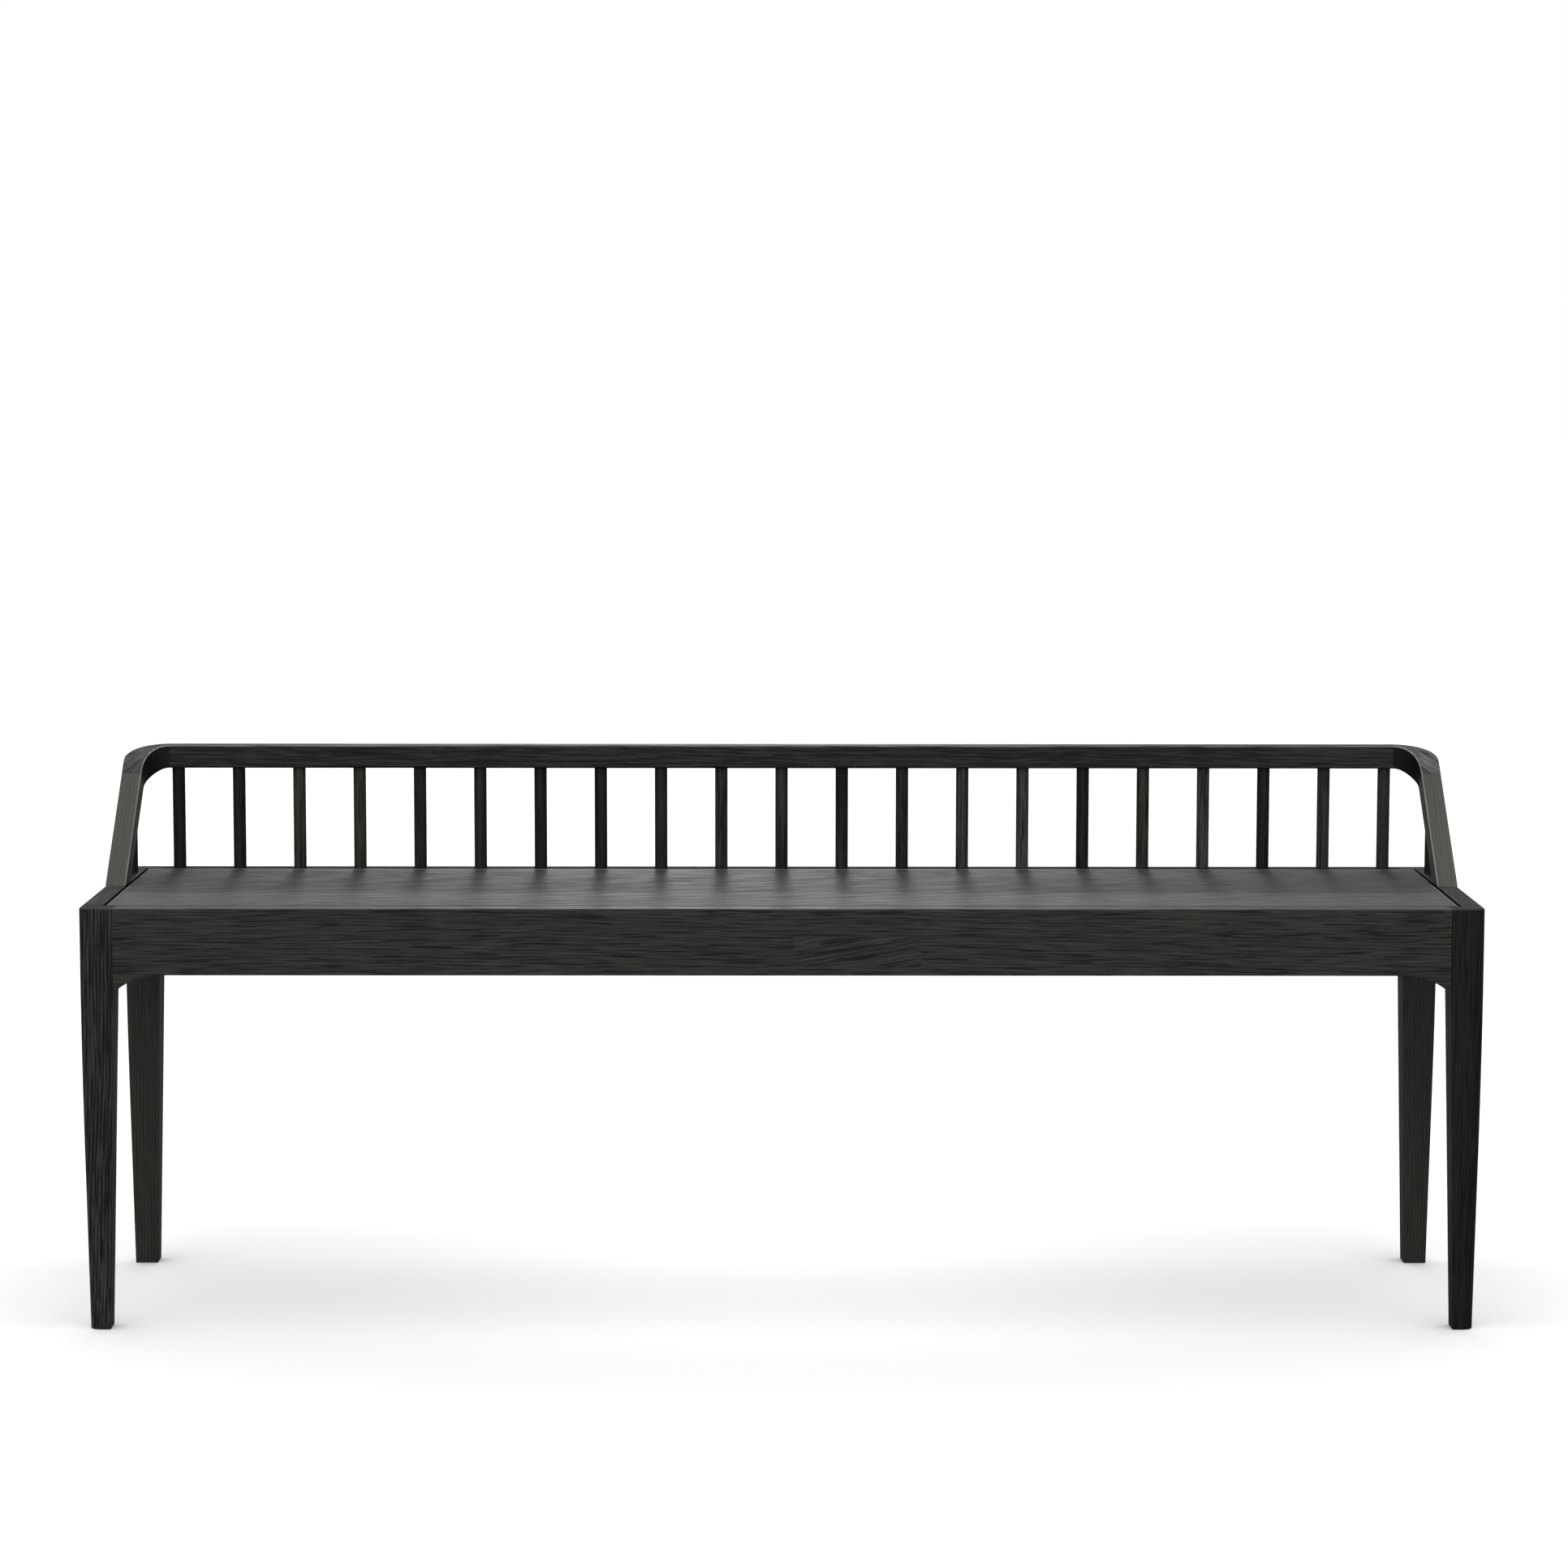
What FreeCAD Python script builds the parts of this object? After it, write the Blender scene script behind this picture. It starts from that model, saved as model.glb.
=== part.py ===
import FreeCAD, Part
import math
import os
import re
import Sketcher

# Spindle bench: four tapered legs, four rails with small brackets, a seat panel of glued boards
# that lies flush inside the frame, and a low back of round spindles under a bent hoop. The hoop is
# a level crest rail, two corner blocks and two arms that slope down to the side rails.
# X runs along the bench, Y from the front (-) to the back (+), Z up, origin on the floor in the middle.

# The driving sizes, in millimetres, and some plain counts.
SIZES = [
    ("bench_length", 1460, "overall, outside of the side rails"),
    ("bench_depth", 350, "overall, front rail to back rail"),
    ("bench_height", 584, "floor to the top of the crest"),
    ("seat_height", 446, "floor to the top of the rails and the seat"),
    ("leg_width", 35, "front leg along the bench, at the top"),
    ("back_leg_width", 38, "back leg along the bench, at the top"),
    ("leg_depth", 40, "leg front to back, at the top"),
    ("leg_corner_radius", 10, "rounding of each leg's outside corner"),
    ("outer_taper", 4.6, "how far the outside faces come in by the foot"),
    ("inner_width_taper", 8.6, "how far the inside face comes in along the length"),
    ("inner_depth_taper", 10, "how far the inside face comes in across the depth"),
    ("taper_drop", 58, "seat top down to where the outside faces start to taper"),
    ("taper_blend", 200, "height over which the outside taper starts as a curve"),
    ("rail_thickness", 22, "all four seat rails"),
    ("rail_height", 70, "all four seat rails, between their brackets"),
    ("arris_radius", 1.5, "rounding of the outer top edges of the rails and legs"),
    ("bracket_reach", 48, "how far a bracket runs along its rail"),
    ("bracket_drop", 19, "how far a bracket drops at the leg"),
    ("tenon_thickness", 8, "rail tenons"),
    ("tenon_height", 44, "rail tenons"),
    ("tenon_length", 18, "rail tenons"),
    ("tenon_drop", 26, "seat top down to the top of a rail tenon"),
    ("tenon_clearance", 0.2, "room on each side of a flat tenon or tongue"),
    ("mortise_gap", 1, "room past the end of a tenon, peg or dowel"),
    ("panel_thickness", 18, "seat boards"),
    ("panel_end_gap", 3.2, "shadow gap at the ends of the seat"),
    ("panel_front_gap", 3.2, "shadow gap behind the front rail"),
    ("panel_back_gap", 3.2, "shadow gap before the back rail"),
    ("panel_edge_radius", 0.6, "eased top edges round the seat"),
    ("tongue_thickness", 6, "tongues between the seat boards"),
    ("tongue_length", 6, "tongues between the seat boards"),
    ("cleat_width", 20, "battens under the edge of the seat"),
    ("cleat_height", 20, "battens under the edge of the seat"),
    ("cleat_end_gap", 5, "from a batten's end to the leg"),
    ("bearer_count", 3, "cross bearers under the seat"),
    ("bearer_width", 30, "cross bearers"),
    ("bearer_height", 40, "cross bearers"),
    ("bearer_tenon_height", 12, "stub tenons of the cross bearers"),
    ("bearer_tenon_length", 10, "stub tenons of the cross bearers"),
    ("screw_diameter", 4, "countersunk wood screws"),
    ("screw_head_diameter", 8, "countersunk wood screws"),
    ("screw_head_height", 2.4, "countersunk wood screws"),
    ("screw_reach", 12, "how far a screw goes past its batten"),
    ("screw_clearance", 0.1, "room round a screw"),
    ("rail_screw_count", 6, "screws from a long batten into its rail"),
    ("rail_screw_inset", 70, "front leg to the first of them"),
    ("seat_screw_count", 4, "screws from a long batten up into the seat"),
    ("seat_screw_inset", 200, "front leg to the first of them"),
    ("end_rail_screw_inset", 55, "leg to a screw from an end batten into its rail"),
    ("end_seat_screw_inset", 10.6, "edge of the middle board to a screw from an end batten"),
    ("spindle_count", 21, "round spindles under the crest"),
    ("spindle_inset", 58, "end of the bench to the outermost spindle under the crest"),
    ("spindle_diameter", 14, "shown part of a spindle"),
    ("peg_diameter", 10, "round tenons of the spindles"),
    ("foot_peg_length", 12, "round tenon in a rail"),
    ("head_peg_length", 10, "round tenon in the crest or an arm"),
    ("peg_chamfer", 1, "lead-in on the round tenons and dowels"),
    ("peg_clearance", 0.1, "room round a round tenon or dowel"),
    ("side_spindle_inset", 56, "back of the bench to the spindle behind each arm"),
    ("hoop_width", 22, "crest front to back, arm across"),
    ("hoop_thickness", 25.5, "crest from top to bottom, arm square to its slope"),
    ("hoop_edge_radius", 2, "eased edges of the crest, corners and arms"),
    ("hoop_bend_radius", 38, "centre line of the corner's bend"),
    ("hoop_outside_radius", 31, "outside of the corner, which is fuller than its inside"),
    ("arm_toe_inset", 176.85, "front of the bench to the toe of the arms"),
    ("dowel_diameter", 6, "dowels in the hoop's joints"),
    ("dowel_length", 24, "dowels in the hoop's joints"),
    ("dowel_spacing", 9, "between the two dowels of a joint"),
    ("crest_dowel_drop", 7, "crest top down to its dowels"),
    ("arm_dowel_setback", 24, "toe of an arm to its foot dowels"),
    ("cut_overrun", 5, "how far a cut starts outside the wood"),
]

# Heights and places that several pieces share, worked out from the sizes.
HALF_LENGTH = "(bench_length / 2)"
HALF_DEPTH = "(bench_depth / 2)"
RAIL_LENGTH_HALF = "(bench_length / 2 - leg_width)"
BACK_RAIL_HALF = "(bench_length / 2 - back_leg_width)"
RAIL_DEPTH_HALF = "(bench_depth / 2 - leg_depth)"
RAIL_BOTTOM = "(seat_height - rail_height)"
BRACKET_BOTTOM = "(seat_height - rail_height - bracket_drop)"
BRACKET_RADIUS = "((bracket_reach ^ 2 + bracket_drop ^ 2) / (2 * bracket_drop))"
TENON_TOP = "(seat_height - tenon_drop)"
TENON_BOTTOM = "(seat_height - tenon_drop - tenon_height)"
PANEL_UNDERSIDE = "(seat_height - panel_thickness)"
CLEAT_BOTTOM = "(seat_height - panel_thickness - cleat_height)"
CLEAT_MIDDLE = "(seat_height - panel_thickness - cleat_height / 2)"
BEARER_BOTTOM = "(seat_height - panel_thickness - bearer_height)"
INNER_RAIL_Y = "(bench_depth / 2 - rail_thickness)"
INNER_RAIL_X = "(bench_length / 2 - rail_thickness)"
INNER_CLEAT_Y = "(bench_depth / 2 - rail_thickness - cleat_width)"
INNER_CLEAT_X = "(bench_length / 2 - rail_thickness - cleat_width)"
TAPER_TOP = "(seat_height - taper_drop)"
BLEND_BOTTOM = "(seat_height - taper_drop - taper_blend)"
BLEND_SHIFT = "(outer_taper * taper_blend / (2 * (seat_height - taper_drop) - taper_blend))"
BLEND_RADIUS = "((" + BLEND_SHIFT + " ^ 2 + taper_blend ^ 2) / (2 * " + BLEND_SHIFT + "))"
HOOP_X = "(bench_length / 2 - hoop_width / 2)"
HOOP_Y = "(bench_depth / 2 - hoop_width / 2)"
CREST_UNDERSIDE = "(bench_height - hoop_thickness)"
CREST_END = "(bench_length / 2 - hoop_width / 2 - hoop_bend_radius)"
CREST_DOWEL_Z = "(bench_height - crest_dowel_drop)"
SPINDLE_SPAN = "(bench_length - 2 * spindle_inset)"
RAIL_SCREW_SPAN = "(bench_length - 2 * leg_width - 2 * rail_screw_inset)"
SEAT_SCREW_SPAN = "(bench_length - 2 * leg_width - 2 * seat_screw_inset)"
END_RAIL_SCREW_SPAN = "(bench_depth - 2 * leg_depth - 2 * end_rail_screw_inset)"
BEARER_SPAN = "(" + RAIL_LENGTH_HALF + " * 2 * (bearer_count - 1) / (bearer_count + 1))"
SIDE_SPINDLE_Y = "(bench_depth / 2 - side_spindle_inset)"

# In the side view the arm's centre line meets the crest's at (HOOP_Y, HOOP_Z). Its two long faces lie
# half the hoop's thickness above and below, square to the slope, and the upper one ends at the toe.
HOOP_Z = "(bench_height - hoop_thickness / 2)"
ARM_TOE_Y = "(arm_toe_inset - bench_depth / 2)"
ARM_RUN = "(" + HOOP_Y + " - " + ARM_TOE_Y + ")"
ARM_RISE = "(" + HOOP_Z + " - seat_height)"
ARM_REACH = "sqrt(" + ARM_RUN + " ^ 2 + " + ARM_RISE + " ^ 2)"
ARM_SLOPE = "(atan(" + ARM_RISE + " / " + ARM_RUN + ") + asin(hoop_thickness / 2 / " + ARM_REACH + "))"
SLOPE_SINE = "sin(" + ARM_SLOPE + ")"
SLOPE_COSINE = "cos(" + ARM_SLOPE + ")"
ARM_END_Y = "(" + HOOP_Y + " - hoop_bend_radius * " + SLOPE_COSINE + ")"
ARM_END_Z = "(" + HOOP_Z + " - hoop_bend_radius * " + SLOPE_SINE + ")"
HALF_RISE = "(hoop_thickness / 2 * " + SLOPE_COSINE + ")"
HALF_RUN = "(hoop_thickness / 2 * " + SLOPE_SINE + ")"
ARM_HEEL_Y = "(" + ARM_TOE_Y + " + hoop_thickness / " + SLOPE_SINE + ")"
ARM_DOWEL_Y = "(" + ARM_TOE_Y + " + arm_dowel_setback)"
ARM_UNDER_SPINDLE = ("(" + HOOP_Z + " - " + HALF_RISE + " - (" + HOOP_Y + " + " + HALF_RUN + " - "
                     + SIDE_SPINDLE_Y + ") * " + SLOPE_SINE + " / " + SLOPE_COSINE + ")")

doc = FreeCAD.newDocument("SpindleBench")
sheet = doc.addObject("Spreadsheet::Sheet", "Sizes")
for row, (alias, value, meaning) in enumerate(SIZES, start=1):
    sheet.set("A%d" % row, alias)
    sheet.set("B%d" % row, str(value))
    sheet.setAlias("B%d" % row, alias)
    sheet.set("C%d" % row, meaning)
doc.recompute()

ALIASES = {alias for alias, value, meaning in SIZES}
nodes = []


def sized(text):
    """The sum in text, with each size's name turned into a reference to its cell."""
    return re.sub(r"[a-z_]+", lambda word: "Sizes." + word[0] if word[0] in ALIASES else word[0], text)


calculator = doc.addObject("App::FeaturePython", "Calculator")
calculator.addProperty("App::PropertyFloat", "Result")


def number(text):
    """What a sum of sizes comes to now."""
    calculator.setExpression("Result", sized(text))
    calculator.recompute()
    return calculator.Result


def slope_angle():
    """The arms' slope, in radians."""
    return math.radians(number(ARM_SLOPE + " / 1deg"))


def tie(thing, prop, text):
    """Binds a property of an object to a sum of sizes."""
    thing.setExpression(prop, sized(text))


def new_body(name):
    """A body for one piece, which becomes a node of that name."""
    body = doc.addObject("PartDesign::Body", name)
    body.Label = name
    nodes.append(body)
    return body


def origin_part(body, role):
    """One of the body's own origin planes or axes."""
    return next(item for item in body.Origin.OriginFeatures if item.Role == role)


def sketch_on(body, plane, place="0", across="0", up="0"):
    """A sketch parallel to an origin plane (XY, XZ or YZ), at a place along the third axis.

    across and up move the sketch's own origin within that plane."""
    sketch = body.newObject("Sketcher::SketchObject", body.Name + "_sketch")
    sketch.AttachmentSupport = (origin_part(body, plane + "_Plane"), [""])
    sketch.MapMode = "FlatFace"
    faces_minus = plane == "XZ"
    tie(sketch, "AttachmentOffset.Base.z", "0 - (" + place + ")" if faces_minus else place)
    tie(sketch, "AttachmentOffset.Base.x", across)
    tie(sketch, "AttachmentOffset.Base.y", up)
    return sketch


def outline(sketch, corners, arcs=None):
    """Draws a closed outline through corners, each a pair of sums of sizes.

    arcs gives (radius, turn) for the stretch after a corner: turn is 1 to the left, -1 to the right."""
    arcs = arcs or {}
    places = [FreeCAD.Vector(number(x), number(y), 0) for x, y in corners]
    points = []
    for index, start in enumerate(places):
        finish = places[(index + 1) % len(places)]
        if index not in arcs:
            sketch.addGeometry(Part.LineSegment(start, finish), False)
            points.append((1, 2))
            continue
        radius_text, turn = arcs[index]
        radius = number(radius_text)
        chord = finish - start
        left = FreeCAD.Vector(-chord.y, chord.x, 0).normalize()
        reach = math.sqrt(radius ** 2 - (chord.Length / 2) ** 2)
        centre = start + chord * 0.5 + left * (turn * reach)
        first, last = (start, finish) if turn > 0 else (finish, start)
        first_angle = math.atan2(first.y - centre.y, first.x - centre.x)
        last_angle = math.atan2(last.y - centre.y, last.x - centre.x)
        circle = Part.Circle(centre, FreeCAD.Vector(0, 0, 1), radius)
        sketch.addGeometry(Part.ArcOfCircle(circle, first_angle, last_angle), False)
        points.append((1, 2) if turn > 0 else (2, 1))
    for index, (x, y) in enumerate(corners):
        following = (index + 1) % len(corners)
        sketch.addConstraint(Sketcher.Constraint(
            "Coincident", index, points[index][1], following, points[following][0]))
        for kind, text, value in (("DistanceX", x, places[index].x), ("DistanceY", y, places[index].y)):
            rule = sketch.addConstraint(Sketcher.Constraint(kind, index, points[index][0], value))
            tie(sketch, "Constraints[%d]" % rule, text)
        if index in arcs:
            radius_text = arcs[index][0]
            rule = sketch.addConstraint(Sketcher.Constraint("Radius", index, number(radius_text)))
            tie(sketch, "Constraints[%d]" % rule, radius_text)
    return sketch


def rectangle(sketch, low_x, low_y, high_x, high_y):
    """A rectangle between two opposite corners."""
    return outline(sketch, [(low_x, low_y), (high_x, low_y), (high_x, high_y), (low_x, high_y)])


def circles(sketch, centres, radius):
    """One circle at each of the centres, all of one radius."""
    for index, (x, y) in enumerate(centres):
        centre = FreeCAD.Vector(number(x), number(y), 0)
        sketch.addGeometry(Part.Circle(centre, FreeCAD.Vector(0, 0, 1), number(radius)), False)
        for kind, text in (("DistanceX", x), ("DistanceY", y)):
            rule = sketch.addConstraint(Sketcher.Constraint(kind, index, 3, number(text)))
            tie(sketch, "Constraints[%d]" % rule, text)
        rule = sketch.addConstraint(Sketcher.Constraint("Radius", index, number(radius)))
        tie(sketch, "Constraints[%d]" % rule, radius)
    return sketch


def extrude(body, kind, profile, length, direction):
    """Pads or pockets a sketch by a length, towards + or - on the axis that its plane faces."""
    feature = body.newObject("PartDesign::" + kind, body.Name + "_" + kind.lower())
    feature.Profile = profile
    tie(feature, "Length", length)
    faces_minus = profile.AttachmentSupport[0][0].Role == "XZ_Plane"
    along_normal = -direction if faces_minus else direction
    feature.Reversed = (along_normal < 0) if kind == "Pad" else (along_normal > 0)
    return feature


def pad(body, profile, length, direction=1):
    return extrude(body, "Pad", profile, length, direction)


def pocket(body, profile, length, direction):
    return extrude(body, "Pocket", profile, length, direction)


def repeat(body, feature, axis, span, count):
    """Repeats a cut along an origin axis, over a whole span."""
    pattern = body.newObject("PartDesign::LinearPattern", body.Name + "_pattern")
    pattern.Originals = [feature]
    pattern.Direction = (origin_part(body, axis + "_Axis"), [""])
    tie(pattern, "Length", span)
    tie(pattern, "Occurrences", count)
    body.Tip = pattern
    return pattern


def ease(body, radius, chosen):
    """Rounds the edges of the body's last feature for which chosen(edge) is true."""
    doc.recompute()
    base = body.Tip
    names = ["Edge%d" % (index + 1) for index, edge in enumerate(base.Shape.Edges) if chosen(edge)]
    fillet = body.newObject("PartDesign::Fillet", body.Name + "_fillet")
    fillet.Base = (base, names)
    tie(fillet, "Radius", radius)
    return fillet


def runs_along(edge, direction):
    """True if a straight edge runs along a direction."""
    if len(edge.Vertexes) < 2:
        return False
    reach = edge.Vertexes[1].Point - edge.Vertexes[0].Point
    return abs(reach.dot(direction)) > 0.999 * reach.Length


def turned(body, profile, axis):
    """Revolves a half outline about the sketch's own axis."""
    feature = body.newObject("PartDesign::Revolution", body.Name + "_turned")
    feature.Profile = profile
    feature.ReferenceAxis = (profile, [axis])
    feature.Angle = 360
    return feature


def screw_hole(body, sketch, axis, from_face, into):
    """A countersunk hole about a sketch axis, from the face where the head lies.

    into is 1 or -1, the way the screw goes along that axis."""
    step = " + " if into > 0 else " - "
    radius = "(screw_diameter / 2 + screw_clearance)"
    head = "(screw_head_diameter / 2 + screw_clearance)"
    along_and_out = [
        (from_face + step + "(0 - cut_overrun)", "0"),
        (from_face + step + "(0 - cut_overrun)", head),
        (from_face, head),
        (from_face + step + "screw_head_height", radius),
        (from_face + step + "(cleat_width + cut_overrun)", radius),
        (from_face + step + "(cleat_width + cut_overrun)", "0"),
    ]
    if axis == "V_Axis":
        outline(sketch, [(out, along) for along, out in along_and_out])
    else:
        outline(sketch, along_and_out)
    groove = body.newObject("PartDesign::Groove", body.Name + "_countersink")
    groove.Profile = sketch
    groove.ReferenceAxis = (sketch, [axis])
    groove.Angle = 360
    return groove


# Legs. Each is sawn to a tapered outline in the front view, then in the side view, and its outside
# corner is rounded from top to foot. The top has a notch for the seat's corner and two mortises.
# The back legs are a little wider than the front ones, and taper by the same amount.
def make_leg(name, side, end):
    body = new_body(name)
    x_sign = "%d * " % side
    y_sign = "%d * " % end
    inner_face, width = (BACK_RAIL_HALF, "back_leg_width") if end > 0 else (RAIL_LENGTH_HALF, "leg_width")

    def across(text):
        return x_sign + "(" + text + ")"

    def deep(text):
        return y_sign + "(" + text + ")"

    front_view = outline(sketch_on(body, "XZ", deep(HALF_DEPTH)), [
        (across(HALF_LENGTH), "seat_height"),
        (across(HALF_LENGTH), TAPER_TOP),
        (across(HALF_LENGTH + " - " + BLEND_SHIFT), BLEND_BOTTOM),
        (across(HALF_LENGTH + " - outer_taper"), "0"),
        (across(inner_face + " + inner_width_taper"), "0"),
        (across(inner_face), BRACKET_BOTTOM),
        (across(inner_face), "seat_height"),
    ], {1: (BLEND_RADIUS, -side)})
    pad(body, front_view, "leg_depth", -end)

    start = across(HALF_LENGTH + " + cut_overrun")
    outside = outline(sketch_on(body, "YZ", start), [
        (deep(HALF_DEPTH), TAPER_TOP),
        (deep(HALF_DEPTH + " - " + BLEND_SHIFT), BLEND_BOTTOM),
        (deep(HALF_DEPTH + " - outer_taper"), "0"),
        (deep(HALF_DEPTH + " - outer_taper"), "0 - cut_overrun"),
        (deep(HALF_DEPTH + " + cut_overrun"), "0 - cut_overrun"),
        (deep(HALF_DEPTH + " + cut_overrun"), TAPER_TOP),
    ], {0: (BLEND_RADIUS, -end)})
    pocket(body, outside, width + " + 2 * cut_overrun", -side)
    inside = outline(sketch_on(body, "YZ", start), [
        (deep(RAIL_DEPTH_HALF), BRACKET_BOTTOM),
        (deep(RAIL_DEPTH_HALF + " + inner_depth_taper"), "0"),
        (deep(RAIL_DEPTH_HALF + " + inner_depth_taper"), "0 - cut_overrun"),
        (deep(RAIL_DEPTH_HALF + " - cut_overrun"), "0 - cut_overrun"),
        (deep(RAIL_DEPTH_HALF + " - cut_overrun"), BRACKET_BOTTOM),
    ])
    pocket(body, inside, width + " + 2 * cut_overrun", -side)

    outside_x = side * number(HALF_LENGTH + " - outer_taper / 2")
    outside_y = end * number(HALF_DEPTH + " - outer_taper / 2")
    reach = number("outer_taper")

    def is_outside_corner(edge):
        centre = edge.CenterOfMass
        upright = runs_along(edge, FreeCAD.Vector(0, 0, 1))
        return upright and abs(centre.x - outside_x) < reach and abs(centre.y - outside_y) < reach

    ease(body, "leg_corner_radius", is_outside_corner)

    top = number("seat_height")
    inner_x, inner_y = number(inner_face), number(RAIL_DEPTH_HALF)

    def is_outside_top(edge):
        centre = edge.CenterOfMass
        return centre.z > top - reach and abs(centre.x) > inner_x + reach and abs(centre.y) > inner_y + reach

    ease(body, "arris_radius", is_outside_top)

    notch = rectangle(
        sketch_on(body, "XY", "seat_height + cut_overrun"),
        across(inner_face + " - cut_overrun"), deep(RAIL_DEPTH_HALF + " - cut_overrun"),
        across(INNER_RAIL_X), deep(INNER_RAIL_Y))
    pocket(body, notch, "panel_thickness + cut_overrun", -1)

    long_mortise = rectangle(
        sketch_on(body, "YZ", across(inner_face + " - cut_overrun")),
        deep(HALF_DEPTH + " - rail_thickness / 2 - tenon_thickness / 2 - tenon_clearance"),
        TENON_BOTTOM + " - tenon_clearance",
        deep(HALF_DEPTH + " - rail_thickness / 2 + tenon_thickness / 2 + tenon_clearance"),
        TENON_TOP + " + tenon_clearance")
    pocket(body, long_mortise, "tenon_length + mortise_gap + cut_overrun", side)
    side_mortise = rectangle(
        sketch_on(body, "XZ", deep(RAIL_DEPTH_HALF + " - cut_overrun")),
        across(HALF_LENGTH + " - rail_thickness / 2 - tenon_thickness / 2 - tenon_clearance"),
        TENON_BOTTOM + " - tenon_clearance",
        across(HALF_LENGTH + " - rail_thickness / 2 + tenon_thickness / 2 + tenon_clearance"),
        TENON_TOP + " + tenon_clearance")
    pocket(body, side_mortise, "tenon_length + mortise_gap + cut_overrun", end)


# Rails. Each has a bracket at either end, sawn from the same board, and a stub tenon into each leg.
def rail_outline(sketch, half):
    return outline(sketch, [
        ("0 - " + half, BRACKET_BOTTOM),
        ("0 - " + half + " + bracket_reach", RAIL_BOTTOM),
        (half + " - bracket_reach", RAIL_BOTTOM),
        (half, BRACKET_BOTTOM),
        (half, "seat_height"),
        ("0 - " + half, "seat_height"),
    ], {0: (BRACKET_RADIUS, -1), 2: (BRACKET_RADIUS, -1)})


def ease_outer_top(body, lengthwise):
    """Rounds a rail's top edge on the outside of the bench. lengthwise is the rail's own direction."""
    outward = FreeCAD.Vector(lengthwise.y, lengthwise.x, 0)
    bench_half = FreeCAD.Vector(number(HALF_LENGTH), number(HALF_DEPTH), 0)
    middle_of_rail = bench_half.dot(outward) - number("rail_thickness / 2")
    middle_height = number("seat_height - rail_height / 2")

    def is_outer_top(edge):
        centre = edge.CenterOfMass
        outside = abs(centre.dot(outward)) > middle_of_rail
        return runs_along(edge, lengthwise) and outside and centre.z > middle_height

    ease(body, "arris_radius", is_outer_top)


def make_long_rail(name, end):
    body = new_body(name)
    y_sign = "%d * " % end
    half = BACK_RAIL_HALF if end > 0 else RAIL_LENGTH_HALF
    pad(body, rail_outline(sketch_on(body, "XZ", y_sign + HALF_DEPTH), half), "rail_thickness", -end)
    ease_outer_top(body, FreeCAD.Vector(1, 0, 0))
    tenons = rectangle(
        sketch_on(body, "XZ", y_sign + "(" + HALF_DEPTH + " - rail_thickness / 2 + tenon_thickness / 2)"),
        "0 - " + half + " - tenon_length", TENON_BOTTOM,
        half + " + tenon_length", TENON_TOP)
    pad(body, tenons, "tenon_thickness", -end)

    inner_face = y_sign + "(" + INNER_RAIL_Y + " - cut_overrun)"
    first_bearer = "(0 - " + BEARER_SPAN + " / 2)"
    middle = "(" + CLEAT_BOTTOM + " + " + BEARER_BOTTOM + ") / 2"
    bearer_mortise = rectangle(
        sketch_on(body, "XZ", inner_face),
        first_bearer + " - bearer_width / 2 - tenon_clearance",
        middle + " - bearer_tenon_height / 2 - tenon_clearance",
        first_bearer + " + bearer_width / 2 + tenon_clearance",
        middle + " + bearer_tenon_height / 2 + tenon_clearance")
    cut = pocket(body, bearer_mortise, "bearer_tenon_length + mortise_gap + cut_overrun", end)
    repeat(body, cut, "X", BEARER_SPAN, "bearer_count")

    pilot = circles(sketch_on(body, "XZ", inner_face),
                    [("0 - " + RAIL_SCREW_SPAN + " / 2", CLEAT_MIDDLE)],
                    "screw_diameter / 2 + screw_clearance")
    cut = pocket(body, pilot, "screw_reach + mortise_gap + cut_overrun", end)
    repeat(body, cut, "X", RAIL_SCREW_SPAN, "rail_screw_count")
    return body


def make_back_rail(name):
    body = make_long_rail(name, 1)
    socket = circles(sketch_on(body, "XY", "seat_height + cut_overrun"),
                     [("0 - " + SPINDLE_SPAN + " / 2", HOOP_Y)], "peg_diameter / 2 + peg_clearance")
    cut = pocket(body, socket, "foot_peg_length + mortise_gap + cut_overrun", -1)
    repeat(body, cut, "X", SPINDLE_SPAN, "spindle_count")


def make_side_rail(name, side):
    body = new_body(name)
    x_sign = "%d * " % side
    pad(body, rail_outline(sketch_on(body, "YZ", x_sign + HALF_LENGTH), RAIL_DEPTH_HALF),
        "rail_thickness", -side)
    ease_outer_top(body, FreeCAD.Vector(0, 1, 0))
    tenons = rectangle(
        sketch_on(body, "YZ", x_sign + "(" + HALF_LENGTH + " - rail_thickness / 2 + tenon_thickness / 2)"),
        "0 - " + RAIL_DEPTH_HALF + " - tenon_length", TENON_BOTTOM,
        RAIL_DEPTH_HALF + " + tenon_length", TENON_TOP)
    pad(body, tenons, "tenon_thickness", -side)

    pilots = circles(sketch_on(body, "YZ", x_sign + "(" + INNER_RAIL_X + " - cut_overrun)"), [
        ("0 - " + END_RAIL_SCREW_SPAN + " / 2", CLEAT_MIDDLE),
        (END_RAIL_SCREW_SPAN + " / 2", CLEAT_MIDDLE),
    ], "screw_diameter / 2 + screw_clearance")
    pocket(body, pilots, "screw_reach + mortise_gap + cut_overrun", side)
    top = "seat_height + cut_overrun"
    peg = circles(sketch_on(body, "XY", top), [(x_sign + HOOP_X, SIDE_SPINDLE_Y)],
                  "peg_diameter / 2 + peg_clearance")
    pocket(body, peg, "foot_peg_length + mortise_gap + cut_overrun", -1)
    dowels = circles(sketch_on(body, "XY", top), [
        (x_sign + "(" + HOOP_X + " - dowel_spacing / 2)", ARM_DOWEL_Y),
        (x_sign + "(" + HOOP_X + " + dowel_spacing / 2)", ARM_DOWEL_Y),
    ], "dowel_diameter / 2 + peg_clearance")
    pocket(body, dowels, "dowel_length / 2 + mortise_gap + cut_overrun", -1)


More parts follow.
